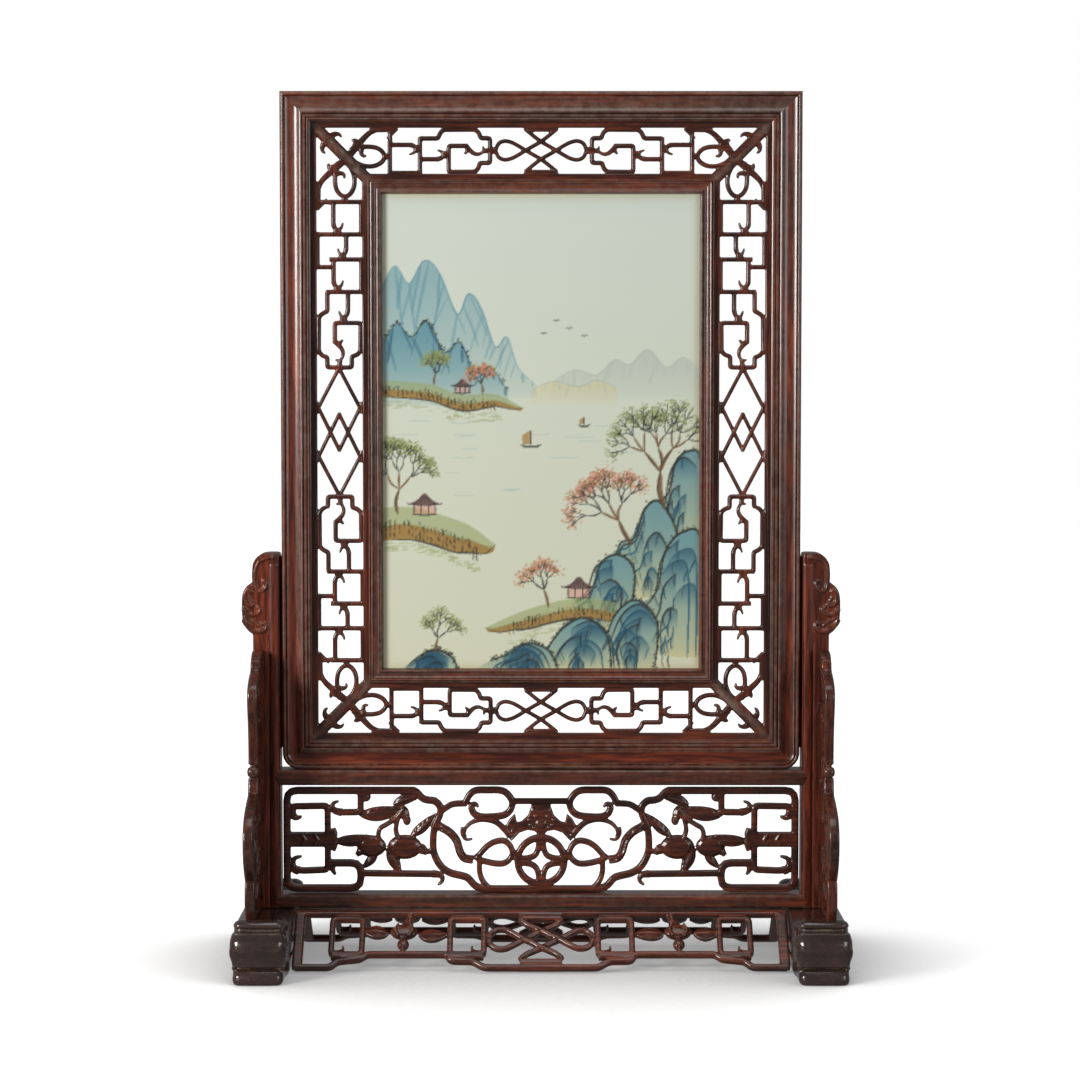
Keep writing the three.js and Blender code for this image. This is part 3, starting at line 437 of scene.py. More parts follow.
def spline(points, step=1.0):
    """A smooth curve through the points, as short steps."""
    padded = [points[0]] + list(points) + [points[-1]]
    result = []
    for i in range(1, len(padded) - 2):
        a, b, c, d = (Vector(point) for point in padded[i - 1:i + 3])
        steps = max(2, int((c - b).length / step))
        for k in range(steps):
            t = k / steps
            result.append(0.5 * (2 * b + (c - a) * t + (2 * a - 5 * b + 4 * c - d) * t * t
                                 + (3 * b - a - 3 * c + d) * t ** 3))
    result.append(Vector(points[-1]))
    return [tuple(point) for point in result]


def rounded(points, radius):
    """A path of straight runs with its corners rounded."""
    result = [points[0]]
    for before, here, after in zip(points, points[1:], points[2:]):
        back, ahead = Vector(before) - Vector(here), Vector(after) - Vector(here)
        cut = min(radius, back.length / 2, ahead.length / 2)
        start = Vector(here) + back.normalized() * cut
        end = Vector(here) + ahead.normalized() * cut
        for k in range(4):
            t = k / 3
            result.append(tuple((1 - t) ** 2 * start + 2 * t * (1 - t) * Vector(here) + t * t * end))
    result.append(points[-1])
    return result


class Carving:
    """Bars, leaves and bosses that grow into one another; they are fused when the carving is finished."""

    def __init__(self, place):
        self.place = place
        self.vertices = []
        self.faces = []

    def bar(self, points, width, depth, y=0.0, taper=None, shoulder=0.3):
        """A bar along a path, width at its start; taper is the width at its end, if another."""
        count = len(points)
        spots = [Vector(point) for point in points]
        base = len(self.vertices)
        for i, spot in enumerate(spots):
            arriving = (spot - spots[max(i - 1, 0)]).normalized()
            leaving = (spots[min(i + 1, count - 1)] - spot).normalized()
            along = (arriving + leaving).normalized()
            lean = max(0.6, along.dot(arriving), along.dot(leaving))
            share = i / (count - 1)
            wide = width if taper is None else width + (taper - width) * share ** 1.4
            thick = depth if taper is None else depth * (0.55 + 0.45 * wide / max(width, taper))
            across = Vector((-along.y, along.x)) * (wide / 2 / lean)
            edge = min(1.0, wide * shoulder)
            inner = 1 - edge / (wide / 2)
            half = thick / 2
            for side, face in ((1, edge - half), (1, half - edge), (inner, half), (-inner, half),
                               (-1, half - edge), (-1, edge - half), (-inner, -half), (inner, -half)):
                point = spot + across * side
                self.vertices.append(self.place(point.x, y + face, point.y))
        for i in range(count - 1):
            for k in range(8):
                m = (k + 1) % 8
                here, there = base + 8 * i, base + 8 * (i + 1)
                self.faces.append((here + k, here + m, there + m, there + k))
        self.faces.append(tuple(range(base + 7, base - 1, -1)))
        self.faces.append(tuple(range(base + 8 * (count - 1), base + 8 * count)))

    def board(self, outline, depth, y=0.0, rounding=1.0):
        """A flat piece sawn to an outline, its edges rounded over."""
        count = len(outline)
        spots = [Vector(point) for point in outline]
        area = sum(a.x * b.y - b.x * a.y for a, b in zip(spots, spots[1:] + spots[:1]))
        inward = []
        for before, here, after in zip(spots[-1:] + spots[:-1], spots, spots[1:] + spots[:1]):
            along = (after - before).normalized()
            inward.append(Vector((-along.y, along.x)) * (1 if area > 0 else -1))
        layers = [(-depth / 2 + rounding * (1 - math.cos(math.radians(30 * k))),
                   rounding * (1 - math.sin(math.radians(30 * k)))) for k in range(4)]
        layers += [(-face, inset) for face, inset in reversed(layers)]
        base = len(self.vertices)
        for face, inset in layers:
            for spot, way in zip(spots, inward):
                point = spot + way * inset
                self.vertices.append(self.place(point.x, y + face, point.y))
        for layer in range(len(layers) - 1):
            for k in range(count):
                m = (k + 1) % count
                here, there = base + layer * count, base + (layer + 1) * count
                self.faces.append((here + k, here + m, there + m, there + k))
        self.faces.append(tuple(range(base + count - 1, base - 1, -1)))
        self.faces.append(tuple(range(base + (len(layers) - 1) * count, base + len(layers) * count)))

    def leaf(self, stalk, tip, width, depth, bend=0.0, y=0.0):
        """A pointed leaf, thickest along its midrib; bend bows it to one side."""
        a, b = Vector(stalk), Vector(tip)
        along = b - a
        across = Vector((-along.y, along.x)).normalized()
        base = len(self.vertices)
        steps = 14
        for i in range(steps + 1):
            t = i / steps
            spot = a + along * t + across * (bend * math.sin(math.pi * t))
            wide = max(0.25, width / 2 * math.sin(math.pi * t ** 0.8) ** 0.8)
            rib = depth / 2 * (0.6 + 0.4 * math.sin(math.pi * t))
            edge, slope = rib * 0.55, rib * 0.78
            for side, face in ((1, -edge), (0.4, -slope), (0, -rib), (-0.4, -slope), (-1, -edge),
                               (-1, edge), (-0.4, slope), (0, rib), (0.4, slope), (1, edge)):
                point = spot + across * (side * wide)
                self.vertices.append(self.place(point.x, y + face, point.y))
        for i in range(steps):
            for k in range(10):
                m = (k + 1) % 10
                here, there = base + 10 * i, base + 10 * (i + 1)
                self.faces.append((here + k, here + m, there + m, there + k))
        self.faces.append(tuple(range(base + 9, base - 1, -1)))
        self.faces.append(tuple(range(base + 10 * steps, base + 10 * steps + 10)))

    def mound(self, centre, across, up, depth, y=0.0, power=0.75):
        """A boss or fruit: a flattened ball, full to its rim where the power is small."""
        base = len(self.vertices)
        rings, segments = 6, 24
        levels = [-1 + 2 * k / rings for k in range(rings + 1)]
        for level in levels[1:-1]:
            radius = math.cos(level * math.pi / 2) ** power
            face = math.sin(level * math.pi / 2) * depth / 2
            for k in range(segments):
                angle = 2 * math.pi * k / segments
                self.vertices.append(self.place(centre[0] + across * radius * math.cos(angle), y + face,
                                                centre[1] + up * radius * math.sin(angle)))
        self.vertices.append(self.place(centre[0], y - depth / 2, centre[1]))
        self.vertices.append(self.place(centre[0], y + depth / 2, centre[1]))
        low, high = len(self.vertices) - 2, len(self.vertices) - 1
        last = base + segments * (rings - 2)
        for k in range(segments):
            m = (k + 1) % segments
            self.faces.append((low, base + k, base + m))
            self.faces.append((high, last + m, last + k))
            for ring in range(rings - 2):
                row = base + segments * ring
                self.faces.append((row + k, row + segments + k, row + segments + m, row + m))

    def finish(self, name, voxel, target, rounds=2):
        """Fuses what was drawn into one surface, eases it as by scraper and cloth, and thins the mesh."""
        piece = mesh_piece(name, self.vertices, self.faces)
        face_outwards(piece)
        apply_modifier(piece, "REMESH", mode="VOXEL", voxel_size=voxel * MM, adaptivity=0)
        apply_modifier(piece, "SMOOTH", factor=0.5, iterations=rounds)
        triangles = 2 * len(piece.data.polygons)
        if triangles > target:
            apply_modifier(piece, "DECIMATE", ratio=target / triangles)
        pick(piece)
        bpy.ops.object.shade_smooth()
        return piece


def apply_modifier(piece, kind, **values):
    pick(piece)
    modifier = piece.modifiers.new("step", kind)
    for key, value in values.items():
        setattr(modifier, key, value)
    bpy.ops.object.modifier_apply(modifier=modifier.name)


def corner_figure(draw):
    """Half of the stem on the mitre, with a thorn, a spur on its branch, and a ring with a hook."""
    draw([(-6, -6), (44, 44)], STEM_WIDTH)
    draw(spline([(10.5, 8.5), (13.5, 5.6), (16.6, 4.8), (18.8, 5.6), (19.9, 7.4)]), 5.6, taper=1.3)
    draw(spline([(34.5, 13.5), (31.8, 10.8), (29.7, 9.7), (27.9, 10.2)]), 5.0, taper=1.2)
    draw([(30.6, 11.5), (29.6, 14.6), (27, 17.4)], 2.6)
    draw(spline([(26, 21.5), (30, 17), (34, 12.4), (38, 7.8), (42.4, 3.9), (48, 1.6)]), 5.6, taper=3.4)
    draw(spline([(42, 1.0), (48, 1.4), (56, 1.2), (64, 0.2)]), 4.2)
    draw(spline([(33.6, 14.6), (37.5, 14.8), (43, 14.9), (48.3, 16), (52.2, 18.9), (53.8, 22.6), (52.2, 26.2),
                 (48.2, 29), (43, 30.2), (37, 29.6), (31, 27)]), FRET_BAR)
    draw(spline([(36, 14.8), (35.5, 18.3), (35.9, 20.9), (37.4, 22.2), (39.6, 21.8)]), 4.4, taper=1.4)
    draw([(53.5, 22.6), (58, 22.2)], 4.4)
    draw(spline([(59.6, 0.4), (58.9, 3.6), (58.2, 6.4), (55.6, 8.2)]), 4.4, taper=1.3)
    draw([(58, 4), (58.4, 11)], 3.4)
    draw([(64, 0.6), (59.5, 5.2)], 2.2)


def key_figure(draw, s, run, top):
    """A square key: an arm that ends in a crescent barb, which stands on the next cross bar."""
    draw([(s, 10.2), (s, FRET_BAND + 1)], FRET_BAR)
    draw([(s, 13.4), (s + 0.74 * run, 13.4)], FRET_BAR)
    draw(spline([(s + 0.68 * run, 13.4), (s + 0.8 * run, 14.4), (s + 0.86 * run, 17), (s + 0.79 * run, 19.6),
                 (s + 0.64 * run, 20.9)]), 3.9, taper=1.2)
    draw([(s + 0.84 * run, 16.6), (s + run, 16.4)], 6.0)
    draw([(s + run, top), (s + run, FRET_BAND + 1)], FRET_BAR)
    draw([(s, FRET_BAND - 0.6), (s + run, FRET_BAND - 0.6)], 3.6)


def link_figure(draw, s, run):
    """A hooked arm between two keys, and the short bar that hangs from the outer rail."""
    draw([(s, 23.4), (s + 0.62 * run, 23.4)], FRET_BAR)
    draw(spline([(s + 0.56 * run, 23.4), (s + 0.74 * run, 22.4), (s + 0.81 * run, 20.2), (s + 0.74 * run, 18),
                 (s + 0.56 * run, 16.8)]), 3.9, taper=1.2)
    draw([(s + 0.78 * run, 20.4), (s + run, 20.4)], 5.8)
    draw([(s - 0.1 * run, 0.8), (s + run + 6, 0.8)], 3.4)
    draw([(s + run + 6, -1), (s + run + 6, 13.9)], FRET_BAR)


def cartouche_figure(draw, s, run):
    """A stepped frame that turns inwards to an S, and a second hooked arm behind its cross bar."""
    def at(points):
        return [(s + share * run, v) for share, v in points]

    draw(rounded(at([(0, 8.4), (0.26, 8.4), (0.28, 5), (0.33, 1.6), (0.79, 1.4), (0.85, 4.6), (0.86, 8.2),
                     (1, 8.2), (1, 27.5), (0.85, 27.5), (0.84, 31), (0.79, 34.4), (0.41, 34.6),
                     (0.41, 14.2), (0.68, 14.2)]), 1.9), FRET_BAR)
    draw(spline(at([(0.66, 14.1), (0.675, 16.4), (0.665, 18.9), (0.63, 20.4)])), 4.0, taper=1.3)
    draw(spline(at([(0.66, 14.4), (0.7, 17), (0.76, 19.8), (0.82, 20.7), (0.88, 19.6), (0.91, 17.2),
                    (0.895, 14.6)])), 4.0, taper=1.5)
    draw(at([(0.89, 18.4), (1, 17.6)]), 3.6)
    draw(at([(0, 24.6), (0.26, 24.6)]), FRET_BAR)
    draw(spline(at([(0.24, 24.6), (0.305, 23.6), (0.335, 21.2), (0.31, 18.8), (0.25, 17.5)])), 3.9, taper=1.2)
    draw(at([(0.325, 21.2), (0.41, 21)]), 5.8)


def knot_figure(draw, centre):
    """Two long loops that cross in the middle of a strip, one strand dipping under the other."""
    strand = [(-12.6, 16.8), (-6, 11.4), (0, 6.9), (6.4, 3.2), (12, 0), (18.4, -3.9), (23.5, -6.4),
              (28.9, -7.3), (33.4, -5.2), (35.7, 0)]
    for hand in (-1, 1):
        for way in (-1, 1):
            draw(spline([(centre + hand * u, KNOT_LINE + way * v) for u, v in strand]), 3.0,
                 y=OVER if hand == way else UNDER, depth=5.0)
    for hand in (-1, 1):
        draw([(centre + hand * 35.5, KNOT_LINE + 0.1), (centre + hand * KNOT_HALF, KNOT_LINE + 0.1)], 5.0)
    for edge, way in ((-0.4, 1), (FRET_BAND + 0.4, -1)):
        draw([(centre - 13.5, edge), (centre + 13.5, edge)], 3.6)
        draw([(centre - 11, edge + 2.4 * way), (centre + 11, edge + 2.4 * way)], 2.2)


def diamond_figure(draw, centre):
    """Two long diamonds that interlock in the middle of a side strip."""
    for hand in (-1, 1):
        lift = OVER * hand
        for way in (-1, 1):
            def at(points):
                return [(centre + hand * u, DIAMOND_LINE + way * v) for u, v in points]

            draw(at([(51.6, -0.6), (19.3, 16.4)]), 2.9, y=lift, depth=5.0)
            draw(at([(19.3, 16.4), (-15.2, -0.5)]), 2.9, y=-lift * way, depth=5.0)
            draw(at([(24, 17.6), (14.6, 17.6)]), 2.0)


def fret_strip(name, side):
    half_side, at_side = SIDES[side]
    half = half_side - BAND_START
    tall = half_side > SCREEN_HALF_WIDTH + 1

    def place(s, y, v):
        x, z = at_side(half - s, BAND_START + v)
        return (x, y, z)

    carving = Carving(place)
    for hand in (-1, 1):
        def draw(points, width, taper=None, y=0.0, depth=FRET_DEPTH):
            path = points if hand < 0 else [(2 * half - s, v) for s, v in points]
            carving.bar(path, width, depth, y=y, taper=taper)

        corner_figure(draw)
        figures = [(key_figure, KEY_RUN, (HUNG_BAR,)), (cartouche_figure, CARTOUCHE_RUN, ())]
        if tall:
            figures = [(key_figure, KEY_RUN, (WHOLE_BAR,)), (link_figure, LINK_RUN, ())] + figures
        middle = DIAMOND_HALF if tall else KNOT_HALF
        stretch = (half - middle - CORNER_RUN) / sum(run for figure, run, extra in figures)
        s = CORNER_RUN
        for figure, run, extra in figures:
            figure(draw, s, run * stretch, *extra)
            s += run * stretch
        if hand < 0:
            (diamond_figure if tall else knot_figure)(draw, half)
    reach = FRET_EDGE + FRET_TONGUE
    for middle_of_rail in (-reach / 2, FRET_BAND + reach / 2):
        carving.bar([(-reach, middle_of_rail), (2 * half + reach, middle_of_rail)], reach, FRET_DEPTH,
                    shoulder=0.12)
    strip = carving.finish(name, FRET_VOXEL, TALL_FRET_TRIANGLES if tall else WIDE_FRET_TRIANGLES)
    for end in (-1, 1):
        corner, inner = Vector(at_side(end * half_side, 0)), Vector(at_side(end * (half_side - 100), 100))
        beyond = Vector(at_side(end * half_side * 2, 0)) - corner
        normal = Vector((inner.y - corner.y, corner.x - inner.x))
        if beyond.dot(normal) < 0:
            normal = -normal
        saw(strip, (corner.x * MM, 0, corner.y * MM), (normal.x, 0, normal.y))
    smooth(strip, 50)
    return strip


CARVED_DEEP, CARVED_WARM, CARVED_STREAK = srgb(36, 19, 16), srgb(72, 35, 27), srgb(138, 62, 34)
# The carved pieces get more of the paled edges, which are partly a painted highlight.
level_carved, upright_carved = (
    wood(f"carved hardwood, grain {run}", axis, CARVED_DEEP, CARVED_WARM, CARVED_STREAK, 0.7, 0.5, 0.2)
    for run, axis in (("level", "x"), ("upright", "z")))


def opposite_copy(piece, name, across):
    """A second piece from the same pattern, turned over to the other side, face or height."""
    other = piece.copy()
    other.data = piece.data.copy()
    other.name = name
    bpy.context.collection.objects.link(other)
    middle = SCREEN_MIDDLE * MM if across == "z" else 0.0
    for vertex in other.data.vertices:
        vertex.co["xyz".index(across)] = 2 * middle - vertex.co["xyz".index(across)]
    other.data.flip_normals()
    return other


for near, far, across, finish in (("top", "bottom", "z", level_carved),
                                  ("left", "right", "x", upright_carved)):
    strip = fret_strip(f"fretwork_{near}", near)
    strip.data.materials.append(finish)
    for piece, side_name in ((strip, near), (opposite_copy(strip, f"fretwork_{far}", across), far)):
        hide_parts(f"fret_{side_name}")
        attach(piece, "root")

# Inner frame
# Four lighter mitred members that hold the plaque in a groove: reeds, a narrow cove and a thin inner bead.

INNER_WIDTH = 11.5
FRONT_OF_INNER = 8.0
INNER_START = BAND_START + FRET_BAND + FRET_EDGE


def inner_profile():
    reeds = [(0, 3.4), (0.15, 2.2), (0.6, 1.5), (1.1, 1.4), (1.5, 1.9), (1.75, 2.4), (1.95, 1.2), (2.3, 0.5),
             (2.9, 0.3), (3.4, 0.6), (3.7, 1.4)]
    cove = [(3.95, 1.3), (4.3, 1.0), (5.3, 1.9), (6.3, 2.2), (7.3, 2.0), (8.2, 1.2), (8.5, 0.9)]
    bead = [(8.7, 1.5), (8.9, 0.7), (9.4, 0.3), (10.0, 0.45), (10.4, 1.0), (10.5, 1.8), (11.0, 2.6),
            (INNER_WIDTH, 4.6)]
    return with_flat_back(reeds + cove + bead, INNER_WIDTH, FRONT_OF_INNER)


for side_name in SIDES:
    member, node_name = frame_member("inner", side_name, INNER_START, inner_profile())
    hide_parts(node_name)
    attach(member, "root")

# Plaque
# A flat plaque of glazed porcelain, held all round in the inner frame's groove. The landscape on it is
# painted in soft enamels: far hills, low shores with pavilions, and rocks with trees near by.

PLAQUE_SIGHT = INNER_START + INNER_WIDTH
GLAZE_FACE = -3.0
plaque_low, plaque_high = (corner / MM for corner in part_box("plaque"))
SIGHT_HALF = SCREEN_HALF_WIDTH - PLAQUE_SIGHT
SIGHT_BASE = SCREEN_BOTTOM + PLAQUE_SIGHT
SIGHT_HEIGHT = SCREEN_TOP - SCREEN_BOTTOM - 2 * PLAQUE_SIGHT
PAINT_OVERLAP = 2.0
PAINTED_HALF = SIGHT_HALF + PAINT_OVERLAP

GLAZE_TOP, GLAZE_LOW, GLAZE_EDGE = (204, 213, 203), (209, 211, 186), (186, 172, 132)
INK, FAR_GREY, OCHRE, STRAW = (44, 46, 44), (176, 186, 176), (158, 118, 62), (206, 198, 150)
BLUE, DEEP_BLUE, MOSS, LEAF = (92, 142, 156), (40, 82, 104), (118, 126, 76), (150, 160, 104)
BLOSSOM, BARK, ROOF, PALE = (212, 138, 124), (112, 82, 54), (104, 78, 74), (214, 216, 198)

PAINT_STEP = 1.0
COLUMNS = round(2 * PAINTED_HALF / PAINT_STEP) + 1
ROWS = round((SIGHT_HEIGHT + 2 * PAINT_OVERLAP) / PAINT_STEP) + 1
painter = random.Random(11)
across_plaque, up_plaque = np.meshgrid(np.linspace(-PAINTED_HALF, PAINTED_HALF, COLUMNS),
                                       np.linspace(-PAINT_OVERLAP, SIGHT_HEIGHT + PAINT_OVERLAP, ROWS))


def bare_glaze():
    """The bare glaze: cooler above, warmer below, and darker and yellower within a few millimetres of its
    edges.
    """
    share = np.clip(up_plaque / SIGHT_HEIGHT, 0, 1)[..., None]
    margin = np.minimum(SIGHT_HALF - abs(across_plaque), np.minimum(up_plaque, SIGHT_HEIGHT - up_plaque))
    # The glaze is tinted darker and yellower towards its edges.
    edge_tint = 0.5 * np.clip(1 - np.maximum(margin, 0) / 9, 0, 1)[..., None] ** 2
    glaze_color = np.array(GLAZE_LOW) * (1 - share) + np.array(GLAZE_TOP) * share
    return glaze_color * (1 - edge_tint) + np.array(GLAZE_EDGE) * edge_tint


enamels = bare_glaze()


def shade(points, color, strength, fade=None):
    """One touch of enamel inside an outline; fade thins it over the plaque."""
    outline = np.array(points, dtype=float)
    corner = (-PAINTED_HALF, -PAINT_OVERLAP)
    low = ((outline.min(axis=0) - corner) / PAINT_STEP).astype(int) - 1
    high = ((outline.max(axis=0) - corner) / PAINT_STEP).astype(int) + 3
    part = (slice(max(low[1], 0), max(high[1], 0)), slice(max(low[0], 0), max(high[0], 0)))
    u, w = across_plaque[part], up_plaque[part]
    covered = np.zeros(u.shape)
    for du, dw in ((-0.27, -0.27), (0.27, -0.27), (-0.27, 0.27), (0.27, 0.27)):
        crossings = np.zeros(u.shape, dtype=int)
        x, y = u + du * PAINT_STEP, w + dw * PAINT_STEP
        for (u0, w0), (u1, w1) in zip(outline, np.roll(outline, -1, axis=0)):
            if w0 != w1:
                crossings += ((w0 > y) != (w1 > y)) & (x < u0 + (y - w0) * (u1 - u0) / (w1 - w0))
        covered += (crossings % 2) / 4
    covered *= strength * (fade(u, w) if fade else 1.0)
    enamels[part] += (np.array(color) - enamels[part]) * covered[..., None]


def brush(points, width, color, strength=0.85, step=3.0):
    """A brush line, pointed at both ends."""
    path = spline(points, step)
    count = len(path)
    left, right = [], []
    for i, spot in enumerate(path):
        before, after = Vector(path[max(i - 1, 0)]), Vector(path[min(i + 1, count - 1)])
        along = (after - before).normalized()
        half = width / 2 * max(0.15, math.sin(math.pi * (i + 0.3) / (count - 0.4)) ** 0.6)
        left.append((spot[0] - along.y * half, spot[1] + along.x * half))
        right.append((spot[0] + along.y * half, spot[1] - along.x * half))
    shade(left + right[::-1], color, strength)


def dab(u, w, color):
    """One touch of the brush's tip."""
    across, up, strength = painter.uniform(0.6, 1.2), painter.uniform(0.5, 0.9), painter.uniform(0.55, 0.9)
    points = []
    for k in range(6):
        angle = math.tau * k / 6 + painter.uniform(-0.2, 0.2)
        points.append((u + across * math.cos(angle), w + up * math.sin(angle)))
    shade(points, color, strength)


def hill(ridge, base, color, strength, line):
    """A far hill that fades into mist below its ridge, with folds that run down from the peaks."""
    top = max(w for u, w in ridge)
    outline = spline(ridge, 4.0)
    shade(outline + [(ridge[-1][0], base), (ridge[0][0], base)], color, strength,
          lambda u, w: np.minimum(1.0, np.clip((w - base) / (top - base), 0, 1) ** 0.8 + 0.12))
    brush(ridge, 1.2, line, 0.8)
    for u, w in outline[1:-1:2]:
        drop = (w - base) * painter.uniform(0.25, 0.6)
        side = painter.uniform(-0.5, 0.5) * drop
        brush([(u, w), (u + side * 0.6, w - drop * 0.55), (u + side, w - drop)],
              painter.uniform(1.2, 3.0), line, painter.uniform(0.25, 0.55))


def shrubs(points, count, spread):
    """Low growth dotted along a contour."""
    path = spline(points, 1.5)
    for k in range(count):
        u, w = path[painter.randrange(len(path))]
        dab(u + painter.uniform(-1.5, 1.5), w + painter.uniform(-0.4, spread), INK if k % 3 else MOSS)


def rock(outline):
    """A rock in washes of blue; its rounded faces are drawn one inside the other with a dark brush."""
    left, right = min(u for u, w in outline), max(u for u, w in outline)
    low, top = min(w for u, w in outline), max(w for u, w in outline)
    root = ((left + right) / 2, low)
    contour = spline(outline + outline[:1], 3.0)
    shade(contour, STRAW, 0.95)
    shade(contour, BLUE, 0.85, lambda u, w: np.clip((w - low) / (top - low), 0, 1) ** 0.6)
    brush(outline[:-1], 2.0, INK, 0.85, step=2.0)
    for k in range(9):
        share = 0.94 - 0.09 * k
        first = painter.randrange(0, len(outline) - 3)
        shift = painter.uniform(-0.12, 0.12) * (right - left)
        face = [(root[0] + (u - root[0]) * share + shift, root[1] + (w - root[1]) * share)
                for u, w in outline[first:first + 4]]
        crest = max(w for u, w in face)
        shade(spline(face, 3.0) + [(face[-1][0], crest - 26), (face[0][0], crest - 26)], DEEP_BLUE, 0.6,
              lambda u, w: np.clip((w - crest + 20) / 20, 0, 1) ** 1.3)
        brush(face, painter.uniform(1.1, 1.8), DEEP_BLUE if k % 3 else INK, 0.8, step=2.0)
        for j in range(4):
            u, w = face[painter.randrange(len(face))]
            brush([(u, w), (u + (root[0] - u) * 0.1 + 0.8, w - 4), (u + (root[0] - u) * 0.25, w - 10)],
                  painter.uniform(0.9, 1.5), DEEP_BLUE if j % 2 else INK, 0.5)
    shrubs(outline[:-1], int((right - left) * 1.6), 3.2)


def limb(u, w, lean, length, width, forks, color, second):
    """A limb that forks; foliage is dotted round its last twigs."""
    tip_u, tip_w = u + length * math.sin(lean), w + length * math.cos(lean)
    bow = painter.uniform(-0.16, 0.16) * length
    middle_u, middle_w = (u + tip_u) / 2 + bow * math.cos(lean), (w + tip_w) / 2
    brush([(u, w), (middle_u, middle_w - bow * math.sin(lean)), (tip_u, tip_w)], width,
          BARK if width > 1.6 else INK, 0.85, step=2.5)
    if width > 2.4:
        brush([(u + width * 0.3, w), (middle_u + width * 0.3, middle_w), (tip_u, tip_w)], 0.9, INK, 0.6,
              step=2.5)
    if forks < 2:
        for k in range(7):
            dab(tip_u + painter.uniform(-4, 4), tip_w + painter.uniform(-3, 3), color if k % 3 else second)
    if forks:
        for turn in (-1, painter.uniform(-0.2, 0.2), 1):
            limb(tip_u, tip_w, lean + turn * painter.uniform(0.35, 0.75),
                 length * painter.uniform(0.62, 0.82), max(0.8, width * 0.6), forks - 1, color, second)


def pavilion(u, w, size):
    """A small open pavilion: a swept roof on four posts."""
    def at(*points):
        return [(u + size * a, w + size * b) for a, b in points]

    shade(at((-0.75, 0), (-0.75, 0.7), (0.75, 0.7), (0.75, 0)), BLOSSOM, 0.5)
    shade(spline(at((-1.15, 0.66), (-0.5, 0.95), (0, 1.4), (0.5, 0.95), (1.15, 0.66)), 1.0), ROOF, 0.9)
    for rib in (-0.6, -0.3, 0, 0.3, 0.6):
        brush(at((rib * 1.2, 0.72), (rib * 0.6, 0.95), (rib * 0.2, 1.25)), 0.7, INK, 0.7)
    brush(at((-1.2, 0.72), (-0.4, 0.64), (0.4, 0.64), (1.2, 0.72)), 1.2, INK, 0.9)
    for post in (-0.7, -0.25, 0.25, 0.7):
        brush(at((post, 0), (post, 0.35), (post, 0.7)), 1.0, INK, 0.8)
    brush(at((-0.9, 0), (0, -0.3 / size), (0.9, 0)), 1.1, INK, 0.8)


def boat(u, w, size):
    """A small boat with one sail."""
    shade([(u - size, w + 1.6), (u - size * 0.6, w - 1), (u + size * 0.6, w - 1), (u + size, w + 1.6),
           (u + size * 0.5, w + 0.6), (u - size * 0.5, w + 0.6)], INK, 0.85)
    brush([(u, w), (u, w + size * 0.8), (u, w + size * 1.5)], 0.9, INK, 0.85)
    shade([(u + 0.5, w + size * 1.4), (u + size * 0.8, w + size * 0.9), (u + size * 0.7, w + 1.6),
           (u + 0.5, w + 1.4)], OCHRE, 0.7)


def shore(bank, depth, count):
    """A low bank that starts as a point: pale grass above, a brown edge with growth, its reflection."""
    path = spline(bank, 3.0)

    def below(share):
        return [(u, w - depth * share * min(1.0, (k / len(path) / 0.35)) ** 0.6)
                for k, (u, w) in enumerate(path)]

    shade(path + below(1.0)[::-1], LEAF, 0.6)
    shade(below(0.55) + below(1.0)[::-1], OCHRE, 0.8)
    brush(below(0.55)[::4], 1.0, MOSS, 0.6)
    brush(below(1.0)[::4], 1.5, INK, 0.75)
    path = path[len(path) // 5:]
    for k in range(count):
        u, w = path[painter.randrange(len(path))]
        w -= depth * painter.uniform(0.5, 1.0)
        brush([(u, w), (u + 0.8, w + 1.6), (u + painter.uniform(-1, 2.4), w + 3.2)], 0.8,
              INK if k % 3 else OCHRE, 0.7, step=2.0)
    for k in range(count // 2):
        u, w = path[painter.randrange(len(path))]
        w -= depth + painter.uniform(2, 9)
        brush([(u - 2.5, w), (u, w + 0.4), (u + 2.5, w)], 0.7, LEAF, 0.6, step=2.0)


FAR_RIDGE = [(-126, 236), (-112, 246), (-99, 238), (-84, 252), (-70, 240), (-58, 244), (-44, 232), (-26, 236),
             (-8, 226)]
SAND_RIDGE = [(-60, 222), (-44, 228), (-30, 223), (-10, 227), (8, 220)]
HIGH_RIDGE = [(4, 224), (18, 238), (27, 262), (36, 254), (47, 284), (57, 296), (66, 280), (80, 312),
              (92, 322), (104, 304), (115, 318), (126, 300)]
NEAR_RIDGE = [(26, 220), (40, 238), (52, 234), (64, 258), (76, 250), (90, 274), (102, 262), (114, 272),
              (126, 254)]

hill(FAR_RIDGE, 212, FAR_GREY, 0.6, FAR_GREY)
hill(SAND_RIDGE, 208, STRAW, 0.6, FAR_GREY)
hill(HIGH_RIDGE, 214, BLUE, 0.55, BLUE)
hill(NEAR_RIDGE, 208, BLUE, 0.8, DEEP_BLUE)
shrubs(NEAR_RIDGE, 130, 2.5)
shore([(14, 206), (36, 217), (64, 217), (88, 225), (126, 228)], 13, 150)
pavilion(62, 218, 8)
limb(46, 217, 0.1, 8, 1.8, 3, BLOSSOM, OCHRE)
limb(84, 224, -0.1, 9, 1.8, 3, LEAF, MOSS)
for k in range(46):
    u, w = painter.uniform(-118, 118), painter.uniform(128, 206)
    ripple = [(u - painter.uniform(4, 14), w), (u, w + painter.uniform(-0.5, 0.5)),
              (u + painter.uniform(4, 14), w)]
    brush(ripple, painter.uniform(0.4, 0.8), BLUE if k % 2 else PALE, 0.3)

shore([(36, 98), (56, 113), (80, 122), (104, 128), (127, 127)], 26, 190)
pavilion(92, 122, 12)
limb(113, 122, -0.05, 20, 2.8, 4, LEAF, MOSS)

